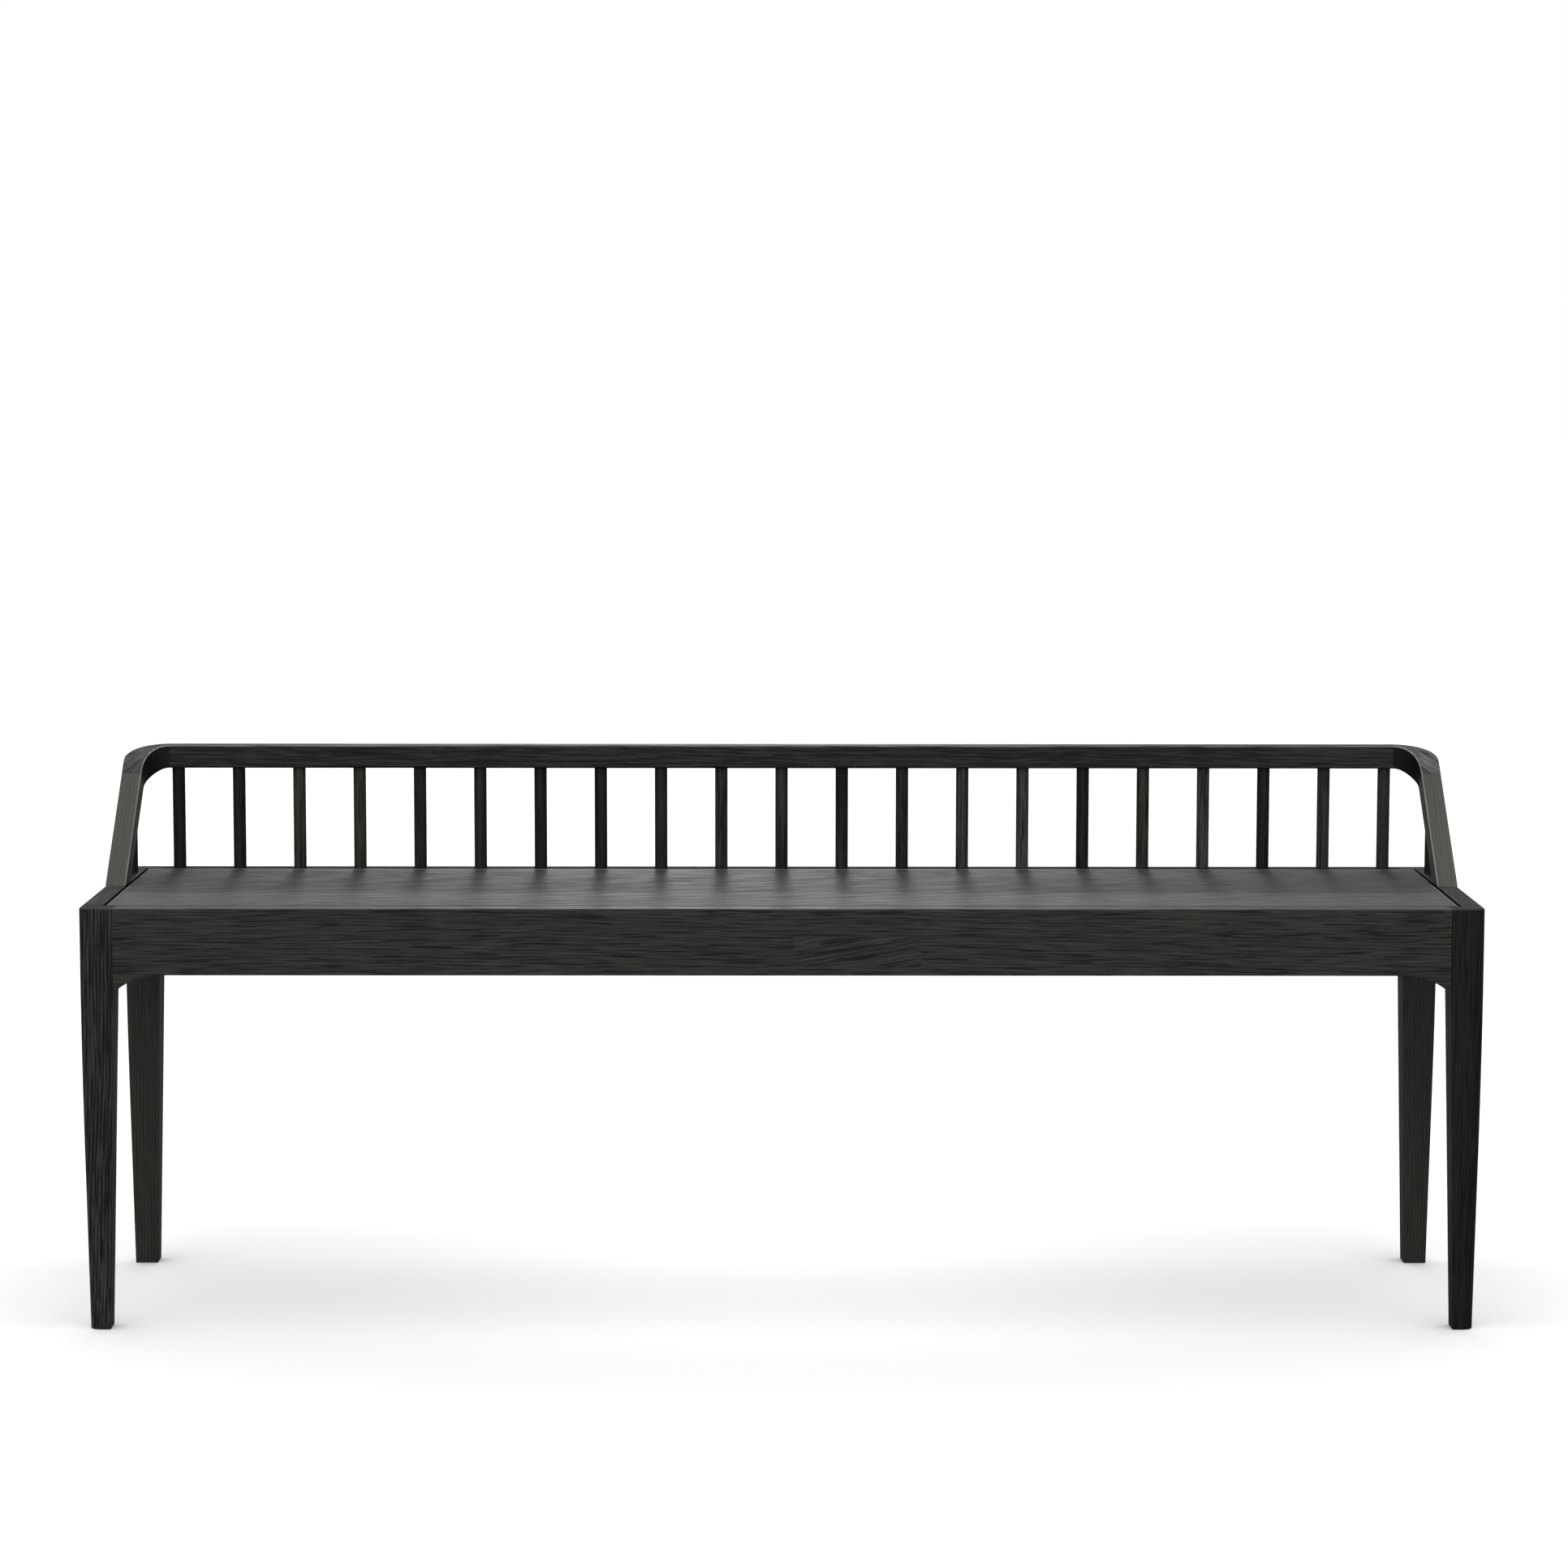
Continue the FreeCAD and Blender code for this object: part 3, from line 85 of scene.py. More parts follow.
# %% Sizes that only the photograph gives
RAIL_THICKNESS = 0.022
RAIL_HEIGHT = 0.070
BRACKET_REACH = 0.048
BRACKET_DROP = 0.019
RAIL_BOTTOM = SEAT_TOP - RAIL_HEIGHT
BRACKET_BOTTOM = RAIL_BOTTOM - BRACKET_DROP
ARRIS_RADIUS = 0.0015
SANDED_EDGE = 0.0007
print("rails from", round(RAIL_BOTTOM, 4), "up, brackets from", round(BRACKET_BOTTOM, 4))

# %% [markdown]
# ## Tools of the trade
#
# Each piece starts as a blank, a box of wood at its own place. A few small tools then work it, as they
# would by hand in edit mode: one saws lines across it, one picks corners, edges or faces by their
# place, one pushes what is picked, and one rounds the edges. Picking in code keeps every step exact.
# Two more tools give a finished piece its finish, and some of its faces a finish of their own.

# %% Blank and saw
def blank(name, low, high):
    """A box of wood between two corners, with its place in its mesh."""
    bpy.ops.object.select_all(action="DESELECT")
    low, high = Vector(low), Vector(high)
    bpy.ops.mesh.primitive_cube_add(size=1, location=(low + high) / 2)
    piece = bpy.context.object
    piece.name = piece.data.name = name
    piece.scale = high - low
    bpy.ops.object.transform_apply(location=True, rotation=True, scale=True)
    return piece


def saw_lines(piece, places, normal):
    """Marks cuts right round a piece at places on it, without taking any wood away."""
    bpy.context.view_layer.objects.active = piece
    bpy.ops.object.mode_set(mode="EDIT")
    for place in places:
        bpy.ops.mesh.select_all(action="SELECT")
        bpy.ops.mesh.bisect(plane_co=place, plane_no=normal)
    bpy.ops.object.mode_set(mode="OBJECT")


print("tools: blank, saw_lines")

# %% Pick and push
# Places that are less than NEAR apart count as the same.
NEAR = 0.0004


def pick(piece, kind, test):
    """Opens a piece with only those corners (VERT), edges (EDGE) or faces (FACE) picked that pass."""
    bpy.context.view_layer.objects.active = piece
    bpy.ops.object.mode_set(mode="EDIT")
    bpy.ops.mesh.select_mode(type=kind)
    bpy.ops.mesh.select_all(action="DESELECT")
    bpy.ops.object.mode_set(mode="OBJECT")
    mesh = piece.data
    if kind == "VERT":
        for corner in mesh.vertices:
            corner.select = test(corner.co)
    elif kind == "EDGE":
        for edge in mesh.edges:
            start, end = (mesh.vertices[index].co for index in edge.vertices)
            edge.select = test(start, end)
    else:
        for face in mesh.polygons:
            face.select = test(face.center, face.normal)
    bpy.ops.object.mode_set(mode="EDIT")


def push(piece, test, offset):
    """Moves the corners that pass a test."""
    pick(piece, "VERT", test)
    bpy.ops.transform.translate(value=offset)
    bpy.ops.object.mode_set(mode="OBJECT")


print("tools: pick, push")

# %% Round and ease edges
def round_edges(piece, test, radius, segments):
    """Rounds the edges that pass a test."""
    pick(piece, "EDGE", test)
    bpy.ops.mesh.bevel(offset=radius, segments=segments, affect="EDGES")
    bpy.ops.object.mode_set(mode="OBJECT")


def ease(piece, radius, segments=2, sharper_than=50):
    """Eases all edges that are sharper than some degrees, as a pass of fine paper does."""
    modifier = piece.modifiers.new("Ease", "BEVEL")
    modifier.width = radius
    modifier.segments = segments
    modifier.limit_method = "ANGLE"
    modifier.angle_limit = math.radians(sharper_than)
    modifier.use_clamp_overlap = True
    bpy.context.view_layer.objects.active = piece
    bpy.ops.object.modifier_apply(modifier=modifier.name)


print("tools: round_edges, ease")

# %% Copy a piece, and hand a finished one over
MIRROR_X = Matrix.Diagonal((-1, 1, 1, 1))
MIRROR_Y = Matrix.Diagonal((1, -1, 1, 1))
SHARP_ANGLE = math.radians(40)


def copied(piece, name, matrix):
    """A copy with its own mesh, moved or mirrored by a matrix."""
    copy = piece.copy()
    copy.data = piece.data.copy()
    copy.name = copy.data.name = name
    copy.data.transform(matrix)
    if matrix.determinant() < 0:
        copy.data.flip_normals()
    bpy.context.collection.objects.link(copy)
    return copy


def hand_over(piece, node, finish):
    """Shades a piece, large faces flat, gives it its finish, and lets it stand for its CAD node."""
    bpy.ops.object.select_all(action="DESELECT")
    piece.select_set(True)
    bpy.context.view_layer.objects.active = piece
    bpy.ops.object.shade_smooth_by_angle(angle=SHARP_ANGLE)
    flatten = piece.modifiers.new("Flatten", "WEIGHTED_NORMAL")
    flatten.keep_sharp = True
    bpy.ops.object.modifier_apply(modifier=flatten.name)
    piece.data.materials.clear()
    piece.data.materials.append(finish)
    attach(piece, "root")
    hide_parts(node)


print("tools: copied, hand_over")

# %% Finish some faces of a piece in their own way
PARTLY = 0.35
SQUARELY = 0.9


def faces_towards(piece, *directions, least=PARTLY):
    """The faces whose normals point at least a share of the way in every given direction."""
    return [face.index for face in piece.data.polygons
            if all(face.normal.dot(Vector(direction)) > least for direction in directions)]


def finish_faces(piece, faces, finish):
    """Gives some faces of a piece a finish of their own."""
    piece.data.materials.append(finish)
    for index in faces:
        piece.data.polygons[index].material_index = len(piece.data.materials) - 1


print("tools: faces_towards, finish_faces")

# %% [markdown]
# ## Black-stained oak
#
# Oak has long open pores. A black stain sinks deeper into them, so the wood shows fine dark dashes
# and lighter streaks that all run along the grain. An image could show this, but it would have to be
# wrapped on every piece. A procedural grain reads the place of each point instead: noise is stretched
# along the grain, and a broad ring pattern adds the arches of a flat-sawn board. Every oak material
# uses the same grain, so it is built once, as a node group that puts out colour, roughness and height.

# %% Helpers for nodes
def set_inputs(tree, node, inputs):
    """Sets a node's inputs to values, or links them where a socket is given."""
    for name, value in inputs.items():
        if isinstance(value, bpy.types.NodeSocket):
            tree.links.new(value, node.inputs[name])
        else:
            node.inputs[name].default_value = value


def new_node(tree, kind, inputs=None, **settings):
    """Adds a node with its settings and inputs."""
    node = tree.nodes.new(kind)
    for name, value in settings.items():
        setattr(node, name, value)
    set_inputs(tree, node, inputs or {})
    return node


def calculated(tree, operation, *values):
    """One step of arithmetic on numbers, each given as a number or a socket."""
    return new_node(tree, "ShaderNodeMath", dict(enumerate(values)), operation=operation).outputs[0]


def calculated_place(tree, operation, *values):
    """One step of arithmetic on places. A length or a dot product gives a number."""
    node = new_node(tree, "ShaderNodeVectorMath", dict(enumerate(values)), operation=operation)
    return node.outputs["Value" if operation in ("LENGTH", "DOT_PRODUCT") else "Vector"]


def remapped(tree, value, low, high, to_low=0.0, to_high=1.0):
    """Spreads a stretch of values over another one, and stops at its ends."""
    inputs = {"Value": value, "From Min": low, "From Max": high, "To Min": to_low, "To Max": to_high}
    return new_node(tree, "ShaderNodeMapRange", inputs).outputs["Result"]


def mixed(tree, kind, factor, first, second, **settings):
    """A mix of two colours (RGBA), places (VECTOR) or numbers (FLOAT)."""
    inputs = {"Factor": factor, "A": first, "B": second}
    return new_node(tree, "ShaderNodeMix", inputs, data_type=kind, **settings).outputs["Result"]


print("helpers: set_inputs, new_node, calculated, calculated_place, remapped, mixed")

# %% A group, and noise along the grain
def new_group(name, inputs, outputs):
    """A node group with named sockets, and the two nodes inside it that its sockets lead to."""
    group = bpy.data.node_groups.new(name, "ShaderNodeTree")
    for sockets, way in ((inputs, "INPUT"), (outputs, "OUTPUT")):
        for socket, kind in sockets.items():
            group.interface.new_socket(socket, in_out=way, socket_type="NodeSocket" + kind)
    return group, group.nodes.new("NodeGroupInput"), group.nodes.new("NodeGroupOutput")


def stretched_noise(tree, place, stretch, detail, roughness=0.5):
    """Noise whose spots are drawn out along the grain: stretch gives spots per metre on each axis."""
    scaled = calculated_place(tree, "MULTIPLY", place, stretch)
    inputs = {"Vector": scaled, "Scale": 1, "Detail": detail, "Roughness": roughness}
    return new_node(tree, "ShaderNodeTexNoise", inputs).outputs["Fac"]


print("helpers: new_group, stretched_noise")

# %% The grain's group and its wander
# The grain isn't straight: a slow wander is added across it before anything reads the place.
WANDER_SPOTS = 4.0
WANDER_REACH = 0.009
grain, source, result = new_group(
    "oak_grain",
    {"Place": "Vector", "Dark": "Color", "Light": "Color", "Streaks": "Float", "Pores": "Float",
     "Rings": "Float", "Shades": "Float"},
    {"Color": "Color", "Roughness": "Float", "Height": "Float"})
wander = new_node(grain, "ShaderNodeTexNoise",
                  {"Vector": source.outputs["Place"], "Scale": WANDER_SPOTS, "Detail": 1.5})
centred = calculated_place(grain, "SUBTRACT", wander.outputs["Color"], (0.5, 0.5, 0.5))
spread = calculated_place(grain, "MULTIPLY", centred, (0.0, WANDER_REACH, WANDER_REACH))
place = calculated_place(grain, "ADD", source.outputs["Place"], spread)
print("the grain wanders", WANDER_REACH / 2, "to either side")

# %% Streaks, shades, pores and rings
# Rings follow the distance from the tree's middle, which leans a little across the board.
STREAK_SPOTS = (14, 460, 460)
FINE_SPOTS = (30, 720, 720)
SHADE_SPOTS = (2.0, 26, 26)
PORE_SPOTS = (18, 520, 520)
RING_SPACING = 0.0034
RING_CENTRE = (0.0, 0.035, 0.012)
RING_TILT = 0.035
RING_FLOOR = -0.6

streak = stretched_noise(grain, place, STREAK_SPOTS, detail=4, roughness=0.65)
fine = stretched_noise(grain, place, FINE_SPOTS, detail=3, roughness=0.6)
broad = stretched_noise(grain, place, SHADE_SPOTS, detail=2)
dash = stretched_noise(grain, place, PORE_SPOTS, detail=1, roughness=0.4)
from_middle = calculated_place(grain, "SUBTRACT", place, RING_CENTRE)
parts = new_node(grain, "ShaderNodeSeparateXYZ", {0: from_middle}).outputs
leaning = calculated(grain, "MULTIPLY_ADD", parts["X"], RING_TILT, parts["Z"])
across = new_node(grain, "ShaderNodeCombineXYZ", {"Y": parts["Y"], "Z": leaning}).outputs[0]
distance = calculated_place(grain, "LENGTH", across)
turns = calculated(grain, "MULTIPLY", distance, 2 * math.pi / RING_SPACING)
ring = remapped(grain, calculated(grain, "SINE", turns), RING_FLOOR, 1.0)
print("grain group:", len(grain.nodes), "nodes so far")

# %% Colour, roughness and height of the grain
STREAK_SWING = 2.0
PORE_START = 0.57
PORE_FULL = 0.65
PORE_INK = 0.12
TONE_RELIEF = 0.5
ROUGH_AT_DARK = 0.54
ROUGH_AT_LIGHT = 0.40


def swing(value, amount):
    """How far a value is from its middle, times an amount."""
    return calculated(grain, "MULTIPLY", calculated(grain, "SUBTRACT", value, 0.5), amount)


pore = remapped(grain, dash, PORE_START, PORE_FULL)
tone = swing(streak, STREAK_SWING)
tone = calculated(grain, "ADD", tone, swing(fine, STREAK_SWING))
tone = calculated(grain, "MULTIPLY", tone, source.outputs["Streaks"])
tone = calculated(grain, "ADD", tone, swing(ring, source.outputs["Rings"]))
tone = calculated(grain, "ADD", tone, swing(broad, source.outputs["Shades"]))
tone = remapped(grain, tone, -0.5, 0.5)
stain = mixed(grain, "RGBA", tone, source.outputs["Dark"], source.outputs["Light"])
pore_depth = calculated(grain, "MULTIPLY", pore, source.outputs["Pores"])
inked = mixed(grain, "RGBA", pore_depth, stain, (PORE_INK, PORE_INK, PORE_INK, 1), blend_type="MULTIPLY")
roughness = remapped(grain, tone, 0, 1, ROUGH_AT_DARK, ROUGH_AT_LIGHT)
height = calculated(grain, "SUBTRACT", calculated(grain, "MULTIPLY", tone, TONE_RELIEF), pore_depth)
set_inputs(grain, result, {"Color": inked, "Roughness": roughness, "Height": height})
print("grain group done:", len(grain.nodes), "nodes")

# %% [markdown]
# ## Painted shade inside the gaps
#
# The faces inside the narrow gap round the seat lie in shade, and this shade is painted into their
# colour. They could be picked on every piece and given a finish of their own, but a mask by place serves
# rails and boards alike. The group says how much light is left at a place: all of it up to a limit along
# an axis, and a small set share beyond it. It reads the place without its signs, so one axis serves both
# sides of the bench.

# %% The gap's painted shade, as a node group
# The share of the colour that is left in the gap's painted shade.
PAINTED_GAP_SHARE = 0.12
painted_gap_shade, source, result = new_group("painted_gap_shade", {"Place": "Vector", "Axis": "Vector", "Limit": "Float"},
                                      {"Share": "Float"})
unsigned = calculated_place(painted_gap_shade, "ABSOLUTE", source.outputs["Place"])
along_axis = calculated_place(painted_gap_shade, "DOT_PRODUCT", unsigned, source.outputs["Axis"])
beyond = calculated(painted_gap_shade, "GREATER_THAN", along_axis, source.outputs["Limit"])
set_inputs(painted_gap_shade, result, {"Share": remapped(painted_gap_shade, beyond, 0, 1, 1, PAINTED_GAP_SHARE)})
print("gap group:", len(painted_gap_shade.nodes), "nodes")

# %% [markdown]
# ## One stain, several directions
#
# The grain runs along each piece: lengthwise in rails and seat, upright in legs and spindles, along
# the slope in the arms, and straight across the corner in the corner blocks, which are sawn from one
# block of wood. Each could get a grain of its own, but the group always reads grain along X, so each
# material just turns the place first, with a Mapping node. The turn is worked out from the direction in
# which the grain should run. No two planks take stain alike, so the pieces differ a little in tone.

# %% A stained oak material for a direction
RELIEF_DEPTH = 0.0004
LENGTHWISE = (1, 0, 0)
CROSSWISE = (0, 1, 0)
UPRIGHT = (0, 0, 1)


def stained_oak(name, along, dark, light, streaks=1.0, pores=0.8, rings=0.3, bump=0.25, gloss=0.18,
                shades=1.1, fineness=1.0, matt=0.0, shade_limit=None):
    """Oak with its grain along a direction. A fineness below 1 widens the streaks, shades gives broad
    changes of tone, matt adds roughness, and the last argument is the axis and limit beyond which
    painted shade darkens the colour."""
    material = bpy.data.materials.new(name)
    material.use_nodes = True
    tree = material.node_tree
    place = new_node(tree, "ShaderNodeTexCoord").outputs["Object"]
    turn = Vector(along).normalized().rotation_difference(Vector(LENGTHWISE)).to_euler("XYZ")
    scale = [fineness + (1 - fineness) * abs(part) for part in along]
    turned = new_node(tree, "ShaderNodeMapping", {"Vector": place, "Rotation": turn, "Scale": scale})
    oak = new_node(tree, "ShaderNodeGroup",
                   {"Place": turned.outputs["Vector"], "Dark": (*dark, 1), "Light": (*light, 1),
                    "Streaks": streaks, "Pores": pores, "Rings": rings, "Shades": shades},
                   node_tree=grain).outputs
    relief = new_node(tree, "ShaderNodeBump",
                      {"Strength": bump, "Distance": RELIEF_DEPTH, "Height": oak["Height"]})
    colour = oak["Color"]
    # Painted shade: beyond the limit the colour is scaled down.
    if shade_limit:
        shade = new_node(tree, "ShaderNodeGroup", {"Place": place, "Axis": shade_limit[0], "Limit": shade_limit[1]},
                         node_tree=painted_gap_shade)
        colour = new_node(tree, "ShaderNodeVectorMath", {0: colour, "Scale": shade.outputs["Share"]},
                          operation="SCALE").outputs["Vector"]
    set_inputs(tree, tree.nodes["Principled BSDF"],
               {"Base Color": colour, "Roughness": calculated(tree, "ADD", oak["Roughness"], matt),
                "Specular IOR Level": gloss, "Normal": relief.outputs["Normal"]})
    return material


print("stained_oak is ready")

# %% Stains that several pieces share
# A stain is the light end of the grain's colours, in linear values. Its dark end is nearly always soot.
SOOT = (0.0045, 0.0045, 0.0043)
SEAT_BLACK = (0.022, 0.022, 0.022)
GREY_BLACK = (0.029, 0.029, 0.029)
OLIVE_BLACK = (0.040, 0.041, 0.034)
PLAIN_BLACK = (0.044, 0.044, 0.044)
OLIVE_GREY = (0.058, 0.0595, 0.049)
LIGHT_OLIVE = (0.105, 0.109, 0.094)
# The lightest grey is the colour of painted highlights along edges.
HIGHLIGHT_GREY = (0.20, 0.20, 0.20)
print("from", SOOT[0], "for soot to", HIGHLIGHT_GREY[0], "for worn wood")

# %% [markdown]
# ## Legs
#
# A leg is square at the top and tapers on all four sides to its foot. The two outside faces stay
# straight at first and then curve gently inwards. One leg could be lofted, but sawing lines round a
# blank and pushing each ring inwards gives the same shape with fewer steps, and leaves clean long
# faces for the rounded outside corner. A notch in the top takes the corner of the seat. The back legs
# are a little wider than the front ones, so the same steps make a second shape for them. Each front leg
# comes from another plank, so one took up more stain than the other. Their tops are end grain, and dull.

# %% Finishes of the legs
LEG_GREY = (0.060, 0.060, 0.060)
LEG_BLACK = (0.014, 0.014, 0.014)
leg_oak = {
    "front_left_leg": stained_oak("front_left_leg_oak", UPRIGHT, SOOT, LEG_GREY, rings=0.5),
    "front_right_leg": stained_oak("front_right_leg_oak", UPRIGHT, SOOT, LEG_BLACK, rings=0.5),
}
for node in ("back_left_leg", "back_right_leg"):
    leg_oak[node] = stained_oak(node + "_oak", UPRIGHT, SOOT, OLIVE_GREY, streaks=0.3, pores=0.2, shades=0.6)
leg_top_oak = stained_oak("leg_top_oak", LENGTHWISE, SOOT, PLAIN_BLACK, gloss=0.1, matt=0.1)
print("finishes of the legs:", len(leg_oak) + 1)

# %% How far a leg's faces have come in at a height
OUTER_TAPER = 0.0046
TAPER_START = 0.058
TAPER_TOP = SEAT_TOP - TAPER_START
TAPER_BLEND = 0.200
BLEND_BOTTOM = TAPER_TOP - TAPER_BLEND
BLEND_SHIFT = OUTER_TAPER * TAPER_BLEND / (2 * TAPER_TOP - TAPER_BLEND)


def outer_shift(height):
    """The outside faces: a curve from the taper's top, then straight to the foot."""
    if height >= TAPER_TOP:
        return 0
    if height >= BLEND_BOTTOM:
        return BLEND_SHIFT * ((TAPER_TOP - height) / TAPER_BLEND) ** 2
    return BLEND_SHIFT + (OUTER_TAPER - BLEND_SHIFT) * (BLEND_BOTTOM - height) / BLEND_BOTTOM


def inner_shift(height, taper):
    """The inside faces: straight from the bracket to the foot."""
    return taper * max(0, BRACKET_BOTTOM - height) / BRACKET_BOTTOM


print("half way down the outside has come in", round(outer_shift(SEAT_TOP / 2), 4))

# %% A leg for the front right corner
INNER_WIDTH_TAPER = 0.0086
INNER_DEPTH_TAPER = 0.010
LEG_ROUNDING = 0.010
BLEND_RINGS = 6
RING_HEIGHTS = [TAPER_TOP - TAPER_BLEND * step / BLEND_RINGS for step in range(BLEND_RINGS + 1)]
RING_HEIGHTS += [BRACKET_BOTTOM, 0]


def is_outside_corner(start, end):
    """True for the upright edges of the corner that faces away from the bench's middle."""
    near = all(place.x > HALF_LENGTH - OUTER_TAPER - NEAR and place.y < -HALF_DEPTH + OUTER_TAPER + NEAR
               for place in (start, end))
    return near and abs(start.z - end.z) > NEAR


def tapered_leg(width):
    """A leg of some width along the bench, tapered ring by ring, with its outside corner rounded."""
    low = Vector((HALF_LENGTH - width, -HALF_DEPTH, 0))
    high = Vector((HALF_LENGTH, -HALF_DEPTH + LEG_DEPTH, SEAT_TOP))
    leg = blank("leg_shape", low, high)
    saw_lines(leg, [(0, 0, height) for height in RING_HEIGHTS[:-1]], UPRIGHT)
    for height in RING_HEIGHTS:
        def ring(axis, way):
            """A test for the ring's corners on one side of the leg."""
            limit = (high if way > 0 else low)[axis]
            return lambda place: abs(place.z - height) < NEAR and (place[axis] - limit) * way > -NEAR

        outer = outer_shift(height)
        push(leg, ring(0, 1), (-outer, 0, 0))
        push(leg, ring(0, -1), (inner_shift(height, INNER_WIDTH_TAPER), 0, 0))
        push(leg, ring(1, -1), (0, outer, 0))
        push(leg, ring(1, 1), (0, -inner_shift(height, INNER_DEPTH_TAPER), 0))
    round_edges(leg, is_outside_corner, LEG_ROUNDING, segments=8)

    def is_outside_top(start, end):
        """True for the top edges on the two outside faces and round the corner between them."""
        middle = (start + end) / 2
        return min(start.z, end.z) > SEAT_TOP - NEAR and middle.x > low.x + NEAR and middle.y < high.y - NEAR

    round_edges(leg, is_outside_top, ARRIS_RADIUS, segments=4)
    return leg


print("rings round a leg:", len(RING_HEIGHTS))

# %% Cut the notches and set up four legs
PANEL_THICKNESS = 0.018


def notched(leg, width):
    """Cuts the seat's corner out of a leg's top and eases the leg's edges."""
    corner = Vector((HALF_LENGTH - RAIL_THICKNESS, -HALF_DEPTH + RAIL_THICKNESS, SEAT_TOP))
    notch = blank("notch_cutter", corner - Vector((width, 0, PANEL_THICKNESS)),
                  corner + Vector((0, LEG_DEPTH, PANEL_THICKNESS)))
    cut = leg.modifiers.new("Notch", "BOOLEAN")
    cut.object = notch
    cut.operation = "DIFFERENCE"
    cut.solver = "EXACT"
    bpy.context.view_layer.objects.active = leg
    bpy.ops.object.modifier_apply(modifier=cut.name)
    bpy.data.objects.remove(notch, do_unlink=True)
    ease(leg, SANDED_EDGE)


for end, width, to_its_end in (("front", LEG_WIDTH, Matrix()), ("back", BACK_LEG_WIDTH, MIRROR_Y)):
    leg = tapered_leg(width)
    notched(leg, width)
    for side, to_its_side in (("right", Matrix()), ("left", MIRROR_X)):
        node = f"{end}_{side}_leg"
        shaped = copied(leg, "shaped_" + node, to_its_side @ to_its_end)
        hand_over(shaped, node, leg_oak[node])
        finish_faces(shaped, faces_towards(shaped, UPRIGHT, least=SQUARELY), leg_top_oak)
    bpy.data.objects.remove(leg, do_unlink=True)
    print(end, "legs:", round(width, 4), "wide")

# %% [markdown]
# ## Rails
#
# Each seat rail ends in a bracket that is sawn from the same board: its lower edge sweeps down in an
# arc to meet the leg. The arc could be cut out with a boolean, but corners that are pushed into place
# leave cleaner faces: the blank is sawn into narrow stretches near its ends, and the lower corners of
# each stretch go down by the arc's drop. The back rail is a little shorter, because the back legs are
# wider, and the left rail is the right one's mirror image. The front rail's top is lighter than its
# face: a painted sheen for the light that it mirrors. The back rail's top is dull and darker: painted
# shade, a dark line between the seat and the spindles.

# %% Finishes of the rails
# A rail's inner face and what lies beyond it get painted shade, for the shade in the gap. The axes
# point to the bench's middle, because the wood outside the gap lies further out than the limit.
GAP_DEPTH = 0.0002
RAIL_OLIVE = (0.044, 0.045, 0.037)
# The front rail's top gets a lighter colour, a painted sheen.
RAIL_TOP_SHEEN_OLIVE = (0.068, 0.0697, 0.0578)
front_shade_limit = ((0, -1, 0), RAIL_THICKNESS - HALF_DEPTH - GAP_DEPTH)
back_shade_limit = ((0, -1, 0), RAIL_THICKNESS - HALF_DEPTH - SANDED_EDGE)
side_shade_limit = ((-1, 0, 0), RAIL_THICKNESS - HALF_LENGTH - SANDED_EDGE)
rail_oak = stained_oak("rail_oak", LENGTHWISE, SOOT, RAIL_OLIVE, streaks=0.9, pores=1.0, rings=0.2,
                       gloss=0.30, shades=0.2, fineness=1.1, shade_limit=front_shade_limit)
rail_top_sheen_oak = stained_oak("rail_top_sheen_oak", LENGTHWISE, SOOT, RAIL_TOP_SHEEN_OLIVE, streaks=1.3, gloss=0.4,
                           shade_limit=front_shade_limit)
back_rail_oak = stained_oak("back_rail_oak", LENGTHWISE, SOOT, OLIVE_BLACK, gloss=0.30, shades=0.4,
                            shade_limit=back_shade_limit)
# The back rail's top is darker: painted shade, a dark line between the seat and the spindles.
back_rail_top_shade_oak = stained_oak("back_rail_top_shade_oak", LENGTHWISE, SOOT, SEAT_BLACK, gloss=0.08,
                                shades=0.4, matt=0.2)
side_rail_oak = stained_oak("side_rail_oak", CROSSWISE, SOOT, OLIVE_BLACK, shade_limit=side_shade_limit)
print("the front gap starts", round(-front_shade_limit[1], 4), "in front of the middle")

# %% The bracket's arc
BRACKET_STEPS = 10
BRACKET_RADIUS = (BRACKET_REACH ** 2 + BRACKET_DROP ** 2) / (2 * BRACKET_DROP)


def bracket_drop(reach):
    """How far the arc has dropped at a distance from where the bracket starts."""
    return BRACKET_RADIUS - math.sqrt(BRACKET_RADIUS ** 2 - reach ** 2)


def shaped_rail(name, low, high, axis):
    """A rail between two corners, with a bracket at both ends of its length along an axis (0 or 1)."""
    rail = blank(name, low, high)
    half = high[axis]
    reaches = [BRACKET_REACH * step / BRACKET_STEPS for step in range(BRACKET_STEPS + 1)]
    normal = (LENGTHWISE, CROSSWISE)[axis]
    for end in (-1, 1):
        places = [end * (half - BRACKET_REACH + reach) for reach in reaches[:-1]]
        saw_lines(rail, [tuple(place * part for part in normal) for place in places], normal)
    for end in (-1, 1):
        for reach in reaches[1:]:
            place = end * (half - BRACKET_REACH + reach)
            push(rail, lambda corner: abs(corner[axis] - place) < NEAR and corner.z < low[2] + NEAR,
                 (0, 0, -bracket_drop(reach)))
    across = 1 - axis
    outside = max(abs(low[across]), abs(high[across]))

    def is_outside_top(start, end):
        """True for the top edge on the rail's outside."""
        at_the_outside = all(abs(abs(place[across]) - outside) < NEAR for place in (start, end))
        return min(start.z, end.z) > high[2] - NEAR and at_the_outside

    round_edges(rail, is_outside_top, ARRIS_RADIUS, segments=4)
    ease(rail, SANDED_EDGE)
    return rail


print("bracket radius", round(BRACKET_RADIUS, 4))

